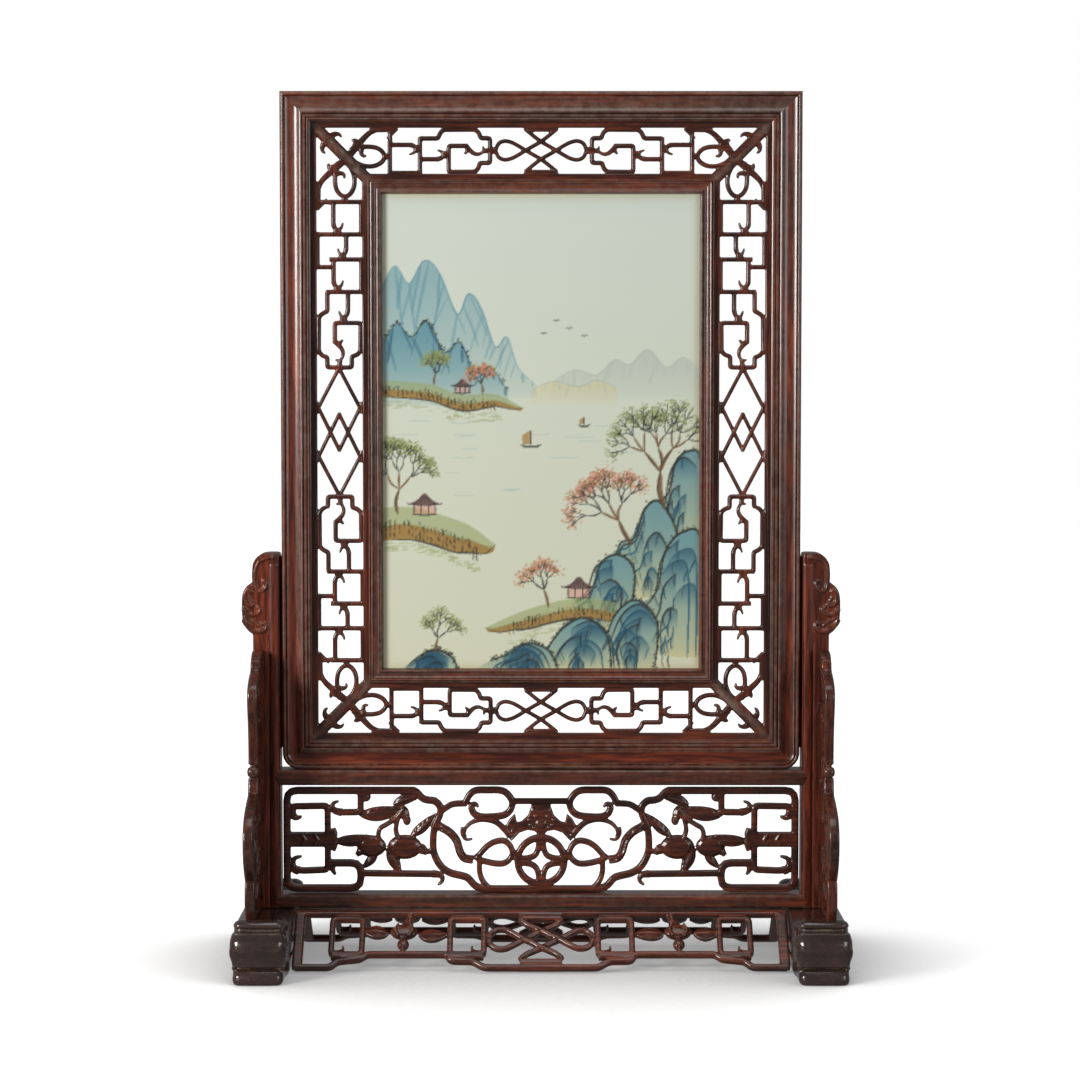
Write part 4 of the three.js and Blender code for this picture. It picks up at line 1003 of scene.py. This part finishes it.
rock([(-127, 96), (-127, 164), (-116, 172), (-106, 162), (-101, 140), (-92, 128), (-90, 104), (-104, 92)])
rock([(-104, 60), (-108, 104), (-94, 132), (-82, 126), (-74, 104), (-62, 98), (-58, 72), (-76, 56)])
limb(-98, 126, 0.12, 30, 4.6, 4, LEAF, MOSS)
limb(-72, 98, 0.5, 22, 3.4, 4, BLOSSOM, OCHRE)
rock([(-127, 8), (-127, 100), (-112, 108), (-98, 92), (-92, 62), (-80, 48), (-84, 14)])
rock([(-70, 36), (-74, 76), (-62, 90), (-48, 84), (-40, 62), (-28, 52), (-34, 30)])
pavilion(-30, 56, 12)
shore([(44, 32), (18, 44), (-8, 52), (-34, 56), (-60, 52)], 16, 120)
rock([(-90, -2), (-92, 36), (-76, 54), (-60, 44), (-50, 20), (-54, -2)])
rock([(-56, -2), (-52, 26), (-36, 40), (-20, 34), (-8, 20), (0, 4), (-4, -2)])
limb(-6, 48, 0.25, 15, 2.4, 3, BLOSSOM, OCHRE)
rock([(-14, -2), (-6, 14), (10, 20), (24, 12), (40, 6), (46, -2)])
rock([(66, -2), (70, 8), (84, 15), (98, 8), (108, -2)])
limb(84, 12, -0.2, 12, 2.0, 3, LEAF, MOSS)
boat(8, 176, 9)
boat(-34, 192, 5)
for u, w in ((-22, 268), (-12, 274), (-2, 264), (-34, 262)):
    brush([(u - 3, w + 1), (u - 1, w + 1.6), (u, w), (u + 1.2, w + 1.6), (u + 3, w + 0.8)], 0.8, INK, 0.7)
enamels = enamels[:, ::-1]


def painted_plaque():
    """The plaque's front carries the enamels as colours on a fine, flat mesh."""
    vertices = [(u, GLAZE_FACE, w + SIGHT_BASE) for u, w in zip(across_plaque.ravel(), up_plaque.ravel())]
    faces = [(j * COLUMNS + i, j * COLUMNS + i + 1, (j + 1) * COLUMNS + i + 1, (j + 1) * COLUMNS + i)
             for j in range(ROWS - 1) for i in range(COLUMNS - 1)]
    front = len(vertices)
    for face in (GLAZE_FACE, -GLAZE_FACE):
        vertices += [(x, face, z) for x, z in ((plaque_low.x, plaque_low.z), (plaque_high.x, plaque_low.z),
                                               (plaque_high.x, plaque_high.z), (plaque_low.x, plaque_high.z))]
    edges = [list(range(COLUMNS)), [COLUMNS * (j + 1) - 1 for j in range(ROWS)],
             [COLUMNS * ROWS - 1 - i for i in range(COLUMNS)],
             [COLUMNS * (ROWS - 1 - j) for j in range(ROWS)]]
    for k in range(4):
        m = (k + 1) % 4
        faces.append(tuple([front + k, front + m] + edges[k][::-1]))
        faces.append((front + k, front + 4 + k, front + 4 + m, front + m))
    faces.append((front + 7, front + 6, front + 5, front + 4))
    piece = mesh_piece("painted_plaque", vertices, faces)
    face_outwards(piece)
    share = np.clip(enamels / 255, 0, 1)
    linear = np.where(share <= 0.04045, share / 12.92, ((share + 0.055) / 1.055) ** 2.4).reshape(-1, 3)
    colors = np.ones((len(vertices), 4))
    colors[:front, :3] = linear
    colors[front:, :3] = srgb(*GLAZE_LOW)[:3]
    painted = piece.data.color_attributes.new("enamel", "FLOAT_COLOR", "POINT")
    painted.data.foreach_set("color", colors.ravel())
    return piece


plaque = painted_plaque()
glaze = bpy.data.materials.new("painted porcelain")
glaze.use_nodes = True
glaze_shader = glaze.node_tree.nodes["Principled BSDF"]
enamel = group_node(glaze.node_tree, "ShaderNodeAttribute", (-400, 0), attribute_name="enamel")
link(glaze.node_tree, enamel.outputs["Color"], glaze_shader.inputs["Base Color"])
shader_values(glaze_shader, {"Roughness": 0.2, "Coat Weight": 0.4, "Coat Roughness": 0.08})
plaque.data.materials.append(glaze)
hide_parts("plaque")
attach(plaque, "root")

# Feet
# Each foot is one block of hardwood with a rolled scroll across both ends, a second smaller roll behind it,
# a moulded base, and volutes on its side faces. It is darker and dustier than the rest.

FOOT_VOXEL, FOOT_TRIANGLES = 0.8, 46000
FOOT_CENTRE = 216.5
FOOT_HALF_WIDTH = 21.0
FOOT_TOP = 42.2
BODY_INNER_SIDE, BODY_OUTER_SIDE = 21.3, 15.0
DRUM_REACH, DRUM_HEIGHT = 93, 27
DRUM_START = 74

SCROLL_END = [(106.4, 0), (107.6, 1.4), (108, 4), (107.4, 7.4), (105.2, 10.4), (101.5, 12.8), (99.4, 14.2),
              (100.6, 16), (104.2, 19), (106.8, 22.6), (108, 27), (107.4, 31.6), (105.2, 35.8), (101.8, 39),
              (98.4, 40.9), (97.6, 41.8), (98.8, 43.2), (98.8, 45), (96.8, 47), (92.5, 48.2), (87.4, 47.6),
              (83.4, 45.4), (81.6, 42.6), (78, FOOT_TOP)]

# Width of the scroll ends at each height: the base, the full drum, the crease and the roll behind it
WAIST = [(0, 0.94), (3, 0.93), (8, 0.92), (13, 0.91), (17, 0.95), (22, 0.99), (27, 1.0), (33, 0.99),
         (37, 0.95), (39.5, 0.89), (41, 0.86), (44, 0.94), (46, 0.91), (48.5, 0.8)]
PILLOW = 0.035


def foot_piece():
    carving = Carving(lambda a, face, b: (-FOOT_CENTRE + face, a, b))
    outline = [(-a, b) for a, b in SCROLL_END] + [(a, b) for a, b in reversed(SCROLL_END)]
    carving.board(outline, 2 * FOOT_HALF_WIDTH, rounding=4.2)
    body = [(-88, 3), (88, 3), (88, FOOT_TOP), (-88, FOOT_TOP)]
    carving.board(body, BODY_INNER_SIDE + BODY_OUTER_SIDE, y=(BODY_INNER_SIDE - BODY_OUTER_SIDE) / 2,
                  rounding=0.8)
    for end in (-1, 1):
        reach = end * DRUM_REACH
        carving.bar([(reach, 14), (reach, 40)], 27, 2 * FOOT_HALF_WIDTH, shoulder=0.24)
        for face in (-1, 1):
            volute = []
            for k in range(40):
                turn = 2 * math.pi * k / 16
                radius = 12.5 - 0.245 * k
                volute.append((reach + end * radius * math.cos(turn), DRUM_HEIGHT - radius * math.sin(turn)))
            carving.bar(volute, 3.0, 3.6, y=face * (FOOT_HALF_WIDTH - 0.8))
            carving.mound((reach, DRUM_HEIGHT), 3.4, 3.4, 4.4, y=face * (FOOT_HALF_WIDTH - 1.1))
            bead = [(end * 104, 12), (end * 96, 13.6), (end * 70, 13.2), (end * 30, 13.6), (0, 13.4)]
            carving.bar(spline(bead), 2.6, 3.4, y=face * (FOOT_HALF_WIDTH - 0.6))
    piece = carving.finish("foot_left_carved", FOOT_VOXEL, FOOT_TRIANGLES, rounds=3)
    heights, shares = zip(*WAIST)
    for vertex in piece.data.vertices:
        at_end = min(1.0, max(0.0, (abs(vertex.co.y) / MM - DRUM_START) / 10))
        share = 1 + (float(np.interp(vertex.co.z / MM, heights, shares)) - 1) * at_end
        across = (vertex.co.x + FOOT_CENTRE * MM) * share
        vertex.co.x = across - FOOT_CENTRE * MM
        vertex.co.y *= 1 - PILLOW * at_end * min(1.0, abs(across) / MM / FOOT_HALF_WIDTH) ** 4
    return piece


FOOT_DEEP, FOOT_WARM, FOOT_STREAK = srgb(40, 29, 27), srgb(60, 44, 41), srgb(70, 48, 42)
foot_wood = wood("dark hardwood of the feet", "y", FOOT_DEEP, FOOT_WARM, FOOT_STREAK, 0.5, 0.8, 0.22,
                 coat=1.0)
left_foot = foot_piece()
left_foot.data.materials.append(foot_wood)
right_foot = opposite_copy(left_foot, "foot_right_carved", "x")
for piece, side_name in ((left_foot, "left"), (right_foot, "right")):
    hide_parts(f"foot_{side_name}")
    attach(piece, "root")

# Posts
# Each post is one upright with a half-round moulding along its inner front edge, and an ear carved
# on its outer top corner: a rim that ends in a curl, over three curling leaves.

POST_INNER = 206.5
POST_OUTER = 227.5
POST_FRONT = 13.0
POST_BASE = 42.5
POST_TOP = 325.0
POST_VOXEL, POST_TRIANGLES = 0.65, 42000
EAR_ROOT = 255.0
EAR_HALF_DEPTH = 12.1


def post_piece():
    carving = Carving(lambda a, face, b: (-a, face, b))
    section = [(POST_INNER, -9.6), (206.9, -11.2), (207.9, -12.3), (209.3, -12.9), (211, -POST_FRONT),
               (212.7, -12.8), (214, -12.3), (214.8, -11.5), (215.3, -11.4), (215.8, -12), (227.1, -12),
               (POST_OUTER, -11.6)]
    outline = section + [(x, -y) for x, y in reversed(section)]
    carving.vertices += [carving.place(x, y, z) for z in (POST_BASE, POST_TOP - 9) for x, y in outline]
    count = len(outline)
    carving.faces += [tuple(range(count)), tuple(range(count, 2 * count))]
    carving.faces += [(k, (k + 1) % count, count + (k + 1) % count, count + k) for k in range(count)]
    ear = spline([(209, POST_TOP), (218.8, 324.6), (224.2, 321.6), (227.4, 316), (228.2, 308), (228.1, 301.6),
                  (229.6, 300.6), (232.4, 298.6), (235.2, 294), (236.2, 288), (236.2, 277), (235, 269.4),
                  (231.6, 263.6), (227.6, 260.6)], step=1.5)
    ear += [(227.4, EAR_ROOT), (214, EAR_ROOT), (POST_INNER, EAR_ROOT), (POST_INNER, 322.4), (207.1, 324.4)]
    carving.board(ear, 2 * EAR_HALF_DEPTH, rounding=1.6)
    rim = [(210.8, 321.4), (217.1, 320.8), (222.6, 318), (225.4, 311.8), (226, 302.9), (225.2, 297.6),
           (222.6, 295), (219.4, 295.4), (217, 298.2), (217, 301.8), (219.4, 303.4)]
    upper_leaf = [(230.4, 297.4), (233.4, 292.4), (233, 286.6), (229.4, 283.4), (225.6, 285.2)]
    upper_vein = [(229.4, 295), (230, 290.6), (227.6, 287.2)]
    middle_leaf = [(235, 281), (232.6, 277.4), (227.6, 276), (223, 277.8), (221.8, 281), (224.6, 282.4)]
    lower_leaf = [(235, 272.8), (232.4, 268), (226.6, 263.8), (220.4, 263), (216.8, 266), (217.6, 269.6),
                  (220.6, 269.2)]
    lower_vein = [(234.4, 275.6), (230.6, 272.2), (226, 270.6), (223, 267.6)]
    for face in (-1, 1):
        for path, width, depth, taper in ((rim, 2.8, 3.6, 2.0), (upper_leaf, 4.2, 3.8, 2.4),
                                          (upper_vein, 2.4, 3.0, 1.2), (middle_leaf, 3.8, 3.8, 2.2),
                                          (lower_leaf, 3.8, 3.8, 2.2), (lower_vein, 2.4, 3.0, 1.4)):
            carving.bar(spline(path), width, depth, y=face * (EAR_HALF_DEPTH - 0.1), taper=taper)
    tongue = [(203.5, 170), (208, 170), (208, 322), (203.5, 322)]
    carving.board(tongue, 7, rounding=0.4)
    return carving.finish("post_left_carved", POST_VOXEL, POST_TRIANGLES)


left_post = post_piece()
left_post.data.materials.append(upright_hardwood)
right_post = opposite_copy(left_post, "post_right_carved", "x")
for piece, side_name in ((left_post, "left"), (right_post, "right")):
    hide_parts(f"post_{side_name}")
    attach(piece, "root")

# Cross rails
# Two rails with rounded edges; their shoulders are cut to a point where they enter the posts.

RAIL_HALF_DEPTH = 13.0
RAIL_POINT = 8.0
RAIL_ROUNDING = 2.6


def rail_piece(node_name):
    low, high = (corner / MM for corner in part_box(node_name))
    middle = (low.z + high.z) / 2
    half_height = (high.z - low.z) / 2
    bpy.ops.mesh.primitive_cube_add(size=2, location=(0, 0, middle * MM))
    rail = bpy.context.object
    rail.name = f"{node_name}_rounded"
    rail.scale = Vector((POST_INNER + RAIL_POINT, RAIL_HALF_DEPTH, half_height)) * MM
    bpy.ops.object.transform_apply(location=True, rotation=False, scale=True)
    for end in (-1, 1):
        for way in (-1, 1):
            tip = Vector((end * (POST_INNER + RAIL_POINT), 0, middle)) * MM
            saw(rail, tip, (end * half_height, 0, way * RAIL_POINT))
    weld(rail)
    apply_modifier(rail, "BEVEL", width=RAIL_ROUNDING * MM, segments=5, limit_method="ANGLE",
                   angle_limit=math.radians(60))
    smooth(rail, 30)
    return rail


for node_name in ("rail_lower", "rail_upper"):
    rail = rail_piece(node_name)
    rail.data.materials.append(level_hardwood)
    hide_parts(node_name)
    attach(rail, "root")

# Openwork panel
# One board between the rails, sawn and carved: square cells with curled arms at the ends, sprays of leaves
# and fruit, long scrolls, and in the middle a bat over a pierced coin.

PANEL_DEPTH = 8.0
PANEL_BAR = 5.4
PANEL_ARM = 4.8
PANEL_VOXEL, PANEL_TRIANGLES = 0.6, 170000
COIN_MIDDLE, COIN_RADIUS = 25.5, 18.6
panel_low, panel_high = (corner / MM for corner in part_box("panel"))


def panel_half(draw, carving, at):
    """p runs out from the middle, q up from the panel's lower edge."""
    draw(rounded([(167, 23.8), (143.6, 23.8), (143.6, 3.6), (202.3, 3.6), (202.3, 81.9), (101, 81.9)], 8),
         5.6)
    draw(rounded([(198.3, 63), (198.5, 69.2), (169.9, 69.6), (169.8, 46)], 3.2), PANEL_ARM)
    draw(spline([(198.4, 65), (197.2, 61.6), (194.4, 60), (190.4, 61)]), 6.4, taper=1.6)
    draw(rounded([(169.8, 40), (169.9, 18.4), (190, 17.6), (195.6, 18.4)], 3.2), PANEL_ARM)
    draw(spline([(193, 17.6), (196.8, 19), (198, 23.4), (196, 27.6), (190.6, 29)]), 6.4, taper=1.6)
    draw(rounded([(143.6, 80), (143.6, 64.6), (160, 64.4)], 3.4), PANEL_ARM)
    draw(spline([(159, 64.4), (164.4, 65.8), (166.2, 69.2), (164.8, 72), (161, 73.2)]), 5.8, taper=1.5)
    draw(spline([(168, 23.6), (166.4, 20.4), (165.6, 17.2), (163.6, 14.4)]), 5.6, taper=1.5)
    carving.mound(at((139.4, 76.8)), 4.0, 4.0, 9.0)
    draw([(203, 42.7), (166, 42.7)], 11.6)
    draw(spline([(166.4, 51), (164.8, 47), (165.4, 42.7), (164.8, 38), (166.2, 34.2)]), 5.2)
    for p in (187.4, 177.4):
        draw([(p + 2.6, 46.6), (p, 42.7), (p + 2.6, 38.8)], 1.8, depth=2.0, y=-PANEL_DEPTH / 2)

    def leaf(stalk, tip, width, bend=0.0):
        start, end = Vector(at(stalk)), Vector(at(tip))
        carving.leaf(start, end, width, PANEL_DEPTH, bend=bend if start.x > end.x else -bend)
        along = (end - start).normalized()
        across = Vector((-along.y, along.x))
        for share in (0.2, 0.36, 0.52, 0.68):
            rib = start.lerp(end, share)
            spread = width / 2 * (0.66 - 0.6 * abs(share - 0.4))
            for side in (-1, 1):
                for face in (-1, 1):
                    carving.bar([rib, rib + along * 2.6 + across * side * spread], 1.5, 1.8,
                                y=face * PANEL_DEPTH * 0.27, taper=1.1)

    leaf((165, 41.2), (130, 45), 9.4, 1.2)
    leaf((145, 62.2), (108.4, 67.6), 11.6, 1.4)
    leaf((118, 70.8), (95, 78), 8.4, -1.0)
    leaf((110, 70), (106.4, 54.4), 7.4)
    leaf((104, 45), (84, 63.4), 8.2, 1.0)
    leaf((121.6, 37), (111.6, 14.4), 9.6, 0.6)
    leaf((130.6, 31), (142.4, 19.4), 7.0)
    draw(spline([(109.4, 67.6), (114.7, 60.4), (123, 54.7), (128.2, 51.4), (129.6, 45.6), (128.4, 42)]), 3.6)
    draw(spline([(113.4, 61), (115.6, 52), (114.8, 46.4), (112.6, 42)]), 3.6)
    carving.mound(at((106.8, 58)), 3.2, 4.2, 8.4)
    carving.mound(at((135, 37.2)), 11.8, 8.8, 9.4, power=0.6)
    carving.mound(at((108.6, 36.6)), 13.8, 10.0, 9.4, power=0.6)
    leaf((141, 36), (147, 30), 7.0)
    leaf((99, 38), (90, 31), 8.0)
    draw(spline([(92, 32.6), (88.4, 33.4), (84.6, 37)]), 3.6)
    draw([(146, 15.6), (83, 14.9)], PANEL_ARM)
    draw(spline([(86, 15), (80.6, 14.2), (78.4, 11.2), (79.4, 8.4), (82.4, 6.2)]), 5.6, taper=1.5)

    draw(spline([(104, 81.9), (99.6, 81), (94.4, 75.8), (90, 74.2), (84.6, 73.4), (80.4, 69), (80.4, 62.8),
                 (84.8, 52), (86, 38.6), (84.6, 29.8), (79.6, 21), (72.4, 15.9), (62.4, 13.3), (58, 11.4),
                 (53, 6), (48, 3.4), (40, 2.9), (0, 2.9)]), PANEL_BAR)
    draw(spline([(80, 64.8), (75.3, 68.2), (69.8, 71), (59, 71.6)]), 4.6)
    draw(spline([(60.2, 72), (57, 78.2), (52, 81.9), (42, 82.3), (32, 82), (26.6, 79), (23, 73), (24.2, 66.6),
                 (29.4, 62.2), (39.4, 60.8), (48.8, 61), (53.8, 64), (55.4, 68.4)]), 5.2)
    draw(spline([(55.4, 67), (55, 70.2), (52, 71), (49.8, 68.6)]), 5.2, taper=1.6)
    draw([(25, 73.4), (0, 73.4)], 4.4)
    draw(spline([(24.6, 45), (28, 49.6), (34.3, 55.6), (41, 58.2), (48.9, 58.4), (56.6, 55.4), (61.2, 49.6),
                 (61.8, 44.6), (59, 42.4), (54.6, 43.2)]), 4.8, taper=1.6)
    draw(spline([(61.4, 52), (62, 47), (60, 44)]), 5.4, taper=3.0)
    draw(spline([(81.4, 54), (79.7, 52.5), (73.1, 48.6), (67.4, 42), (64.6, 33), (61, 27.8), (54, 26.4)]),
         6.2)
    for across in (-1.7, 1.7):
        draw(spline([(79, 52 + across), (73.1 + across, 48.4 + across), (67.2 + across, 42),
                     (64.4 + across, 33), (61 + across / 2, 27.8 + across), (54, 26.4 + across)]), 1.3,
             depth=1.8, y=-PANEL_DEPTH / 2)
    carving.mound(at((50.4, 28.4)), 3.3, 3.3, 9.2)
    draw(spline([(50, 29.4), (43.1, 37), (36.5, 40.8), (29.2, 41.4), (24, 36.6), (23, 30), (28, 24.2),
                 (35, 23.2), (45.3, 25.2), (50, 26.8)]), 4.4)
    draw(spline([(49, 26), (48.9, 16.6), (46.6, 9.6), (42.6, 4.6)]), 4.2)
    draw([(24.4, 33), (19, 31)], 4.6)


def panel_piece():
    base = panel_low.z - 0.3
    stretch = (panel_high.z - panel_low.z) / 86.9
    carving = Carving(lambda a, face, b: (a, face, b))
    for hand in (-1, 1):
        def at(point):
            return (hand * point[0], base + point[1] * stretch)

        def draw(points, width, taper=None, y=0.0, depth=PANEL_DEPTH):
            carving.bar([at(point) for point in points], width, depth, y=y, taper=taper, shoulder=0.26)

        panel_half(draw, carving, at)
    wing = [(7.6, 72.5), (7.6, 70), (10.4, 62), (15.6, 57.2), (19.2, 56.2), (20.6, 63.4), (25, 59.3),
            (28.6, 52.9), (27.4, 46), (23.4, 41.4), (17, 48.2), (10.6, 50.4), (5, 49.4), (2.2, 46.4),
            (2.2, 42)]
    bat = [(p, base + q * stretch) for p, q in wing]
    bat += [(-p, z) for p, z in reversed(bat)]
    carving.board(bat, PANEL_DEPTH - 2, rounding=1.0)
    carving.mound((0, base + 55.2), 5.6, 5.4, 9.2)
    for p, q, r in ((8.6, 54.6, 1.6), (6, 52.6, 1.4), (9.6, 58.6, 1.4), (4.6, 61.6, 1.5), (6.6, 66, 1.3)):
        for hand in (-1, 1):
            carving.mound((hand * p, base + q), r, r, 8.2)
    carving.bar([(-6.4, base + 67), (0, base + 65), (6.4, base + 67)], 2.2, 7.6)
    for hand in (-1, 1):
        for finger in ([(26, 45), (21, 53), (15, 57)], [(23.4, 43), (17, 50), (11, 53)]):
            carving.bar([(hand * p, base + q) for p, q in finger], 1.4, 7.6, taper=0.8)
    ring = []
    for degrees in range(0, 366, 6):
        turn = math.radians(degrees)
        ring.append((COIN_RADIUS * math.cos(turn), base + COIN_MIDDLE + COIN_RADIUS * math.sin(turn)))
    carving.bar(ring, 5.2, PANEL_DEPTH, shoulder=0.26)
    for across in (-1, 1):
        for up in (-1, 1):
            petal = spline([(across * 1.7, 18), (across * 1.9, 12), (across * 3.0, 7.4), (across * 4.7, 4.7),
                            (across * 7.4, 3.0), (across * 12, 1.9), (across * 18, 1.7)])
            carving.bar([(p, base + COIN_MIDDLE + up * q) for p, q in petal], 4.5, PANEL_DEPTH - 1,
                        shoulder=0.26)
    return carving.finish("panel_carved", PANEL_VOXEL, PANEL_TRIANGLES)


panel = panel_piece()
panel.data.materials.append(level_carved)
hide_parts("panel")
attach(panel, "root")

# Aprons
# Two slanting openwork boards, front and back, from the lower rail down towards the table between the feet:
# square rings with a curl inside, a bud between two leaves, and a knot in the middle.

APRON_DEPTH = 6.0
APRON_BAR = 4.6
APRON_LEAN = math.radians(51.3)
APRON_TOP = 12.0
APRON_VOXEL, APRON_TRIANGLES = 0.62, 95000


def apron_half(draw, carving, hand):
    draw([(0, 3.2), (194.3, 3.2)], 10.4)
    draw([(190.2, -1), (190.2, 61)], 8.2)
    draw(rounded([(192, 60.4), (164.6, 60.4), (159, 54.4), (141, 52.2), (136.6, 47.4), (73.4, 47.4),
                  (70.6, 53.8), (53, 54.4), (44.4, 60.6), (0, 60.6)], 3), APRON_BAR)
    for near, far, way in ((42.6, 73.6, 1), (138.3, 166.6, -1)):
        a, b = near + 2.2, far - 2.2
        middle = (a + b) / 2
        draw(rounded([(middle, 11.6), (b, 11.6), (b, 47.6), (a, 47.6), (a, 11.6), (middle, 11.6)], 3.4),
             APRON_BAR)
        draw([(a, 50), (b, 50)], 4.0)
        root = a + 1 if way > 0 else b - 1
        curl = [(root, 46), (root + way * 5, 45.6), (root + way * 8.4, 43), (root + way * 8, 39.6)]
        draw(spline(curl), 3.4, taper=1.2)
    carving.mound((hand * 107.9, 24.6), 10.9, 7.2, 8.4, power=0.6)
    for way in (-1, 1):
        draw(spline([(107.9 + way * 4.4, 18.6), (107.9 + way * 6.8, 24.6), (107.9 + way * 4.4, 30.6)]), 1.6,
             depth=2.2, y=-3.9)
    carving.leaf((hand * 120, 27), (hand * 141.6, 24.6), 12.0, 6.8, bend=1.0)
    carving.leaf((hand * 96.6, 28), (hand * 72.4, 27.4), 11.6, 6.8, bend=1.0)
    carving.leaf((hand * 108, 19), (hand * 99.6, 8), 6.4, 6.0)
    carving.mound((hand * 108.2, 37.4), 4.8, 5.4, 7.6)
    draw([(108.2, 30), (108.2, 46)], 3.4)
    draw([(104, 16), (102.6, 6)], 3.6)


def apron_piece():
    cosine, sine = math.cos(APRON_LEAN), math.sin(APRON_LEAN)

    def place(a, face, s):
        return (a, face * cosine - s * sine - APRON_TOP, FOOT_TOP - face * sine - s * cosine)

    carving = Carving(place)
    for hand in (-1, 1):
        def draw(points, width, taper=None, y=0.0, depth=APRON_DEPTH):
            carving.bar([(hand * p, s) for p, s in points], width, depth, y=y, taper=taper, shoulder=0.26)

        apron_half(draw, carving, hand)
        strand = [(-16.6, 20.4), (-11, 14.6), (0, 8.6), (7.6, 3.6), (14, 0), (21, -5), (28.4, -9.2), (35, -9),
                  (39.6, -5), (40.6, 0)]
        for way in (-1, 1):
            draw(spline([(p, 32 + way * v) for p, v in strand]), 4.2, y=OVER if hand == way else UNDER,
                 depth=APRON_DEPTH - 0.8)
    for s in (10.6, 55.6):
        carving.bar([(-16.4, s), (16.4, s)], 5.6, APRON_DEPTH)
    piece = carving.finish("apron_front_carved", APRON_VOXEL, APRON_TRIANGLES)
    saw(piece, (0, 0, (FOOT_TOP - 0.3) * MM), (0, 0, 1))
    bpy.ops.object.shade_smooth()
    return piece


front_apron = apron_piece()
front_apron.data.materials.append(level_carved)
back_apron = opposite_copy(front_apron, "apron_back_carved", "y")
for piece, face_name in ((front_apron, "front"), (back_apron, "back")):
    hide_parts(f"apron_{face_name}")
    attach(piece, "root")

# Spandrels
# Four upright boards brace the posts to the ends of the feet. Their free edge is rounded and steps in and
# out, with a small ball half way; a vine with long leaves is carved in relief on both faces.

SPANDREL_BOARD = 8.0
SPANDREL_MIDDLE = POST_OUTER - SPANDREL_BOARD / 2
SPANDREL_VOXEL, SPANDREL_TRIANGLES = 0.65, 42000


def spandrel_piece():
    carving = Carving(lambda reach, face, z: (-SPANDREL_MIDDLE + face, -POST_FRONT - reach, z))
    upper = spline([(0, 247.4), (10, 247.2), (17.4, 243.4), (21, 237), (21.6, 233)], step=1.5)
    crown = spline([(24, 231.6), (34, 229), (45, 224), (50.2, 217.4), (49, 207), (45, 195), (42.8, 182),
                    (42, 170), (42.6, 163)], step=2)
    waist = spline([(43.4, 152), (45.6, 146), (46.6, 140), (50.4, 137.4), (64, 133.4), (80, 127), (89, 118.6),
                    (91.6, 109), (90, 98), (84.4, 88), (77.6, 80.8), (74.6, 78.4)], step=2)
    toe = spline([(76.6, 76), (78, 66), (77, 55), (71, 47), (62, 43)], step=2)
    carving.board(upper + crown + waist + toe + [(0, 42.6)], SPANDREL_BOARD - 3, rounding=1.2)
    for part in (upper, crown, waist, toe):
        carving.bar([(max(0.0, r - 2.8), z - (2.0 if z > 240 else 0)) for r, z in part], 6.2, SPANDREL_BOARD,
                    shoulder=0.42)
    carving.mound((45, 157.6), 4.6, 4.6, 9.4, power=0.6)
    carving.mound((21.4, 233.4), 3.4, 3.0, 8.6, power=0.6)
    vine = spline([(8, 52), (20, 66), (44, 74), (60, 88), (62, 106), (50, 118), (34, 116), (26, 128),
                   (28, 150), (20, 170), (18, 190), (28, 206), (24, 222), (12, 232)])
    leaves = [((22, 68), (60, 60), 9), ((58, 96), (78, 112), 9), ((44, 118), (70, 124), 8),
              ((28, 124), (12, 112), 8), ((28, 140), (38, 158), 7), ((20, 166), (34, 184), 8),
              ((18, 186), (8, 204), 7), ((26, 210), (40, 214), 7), ((36, 76), (14, 92), 9),
              ((52, 84), (44, 104), 8), ((12, 226), (6, 240), 6)]
    for face in (-1, 1):
        lift = face * (SPANDREL_BOARD / 2 - 1.7)
        carving.bar(vine, 3.0, 3.6, y=lift, taper=2.0)
        for stalk, tip, width in leaves:
            carving.leaf(stalk, tip, width, 3.8, bend=1.4, y=lift)
        for centre in ((64, 78), (36, 96), (14, 146), (32, 196)):
            carving.mound(centre, 2.6, 2.6, 4.6, y=lift)
    return carving.finish("spandrel_front_left_carved", SPANDREL_VOXEL, SPANDREL_TRIANGLES)


front_left = spandrel_piece()
front_left.data.materials.append(upright_carved)
front_right = opposite_copy(front_left, "spandrel_front_right_carved", "x")
back_left = opposite_copy(front_left, "spandrel_back_left_carved", "y")
back_right = opposite_copy(front_right, "spandrel_back_right_carved", "y")
for piece, place_name in ((front_left, "front_left"), (front_right, "front_right"), (back_left, "back_left"),
                          (back_right, "back_right")):
    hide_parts(f"spandrel_{place_name}")
    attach(piece, "root")
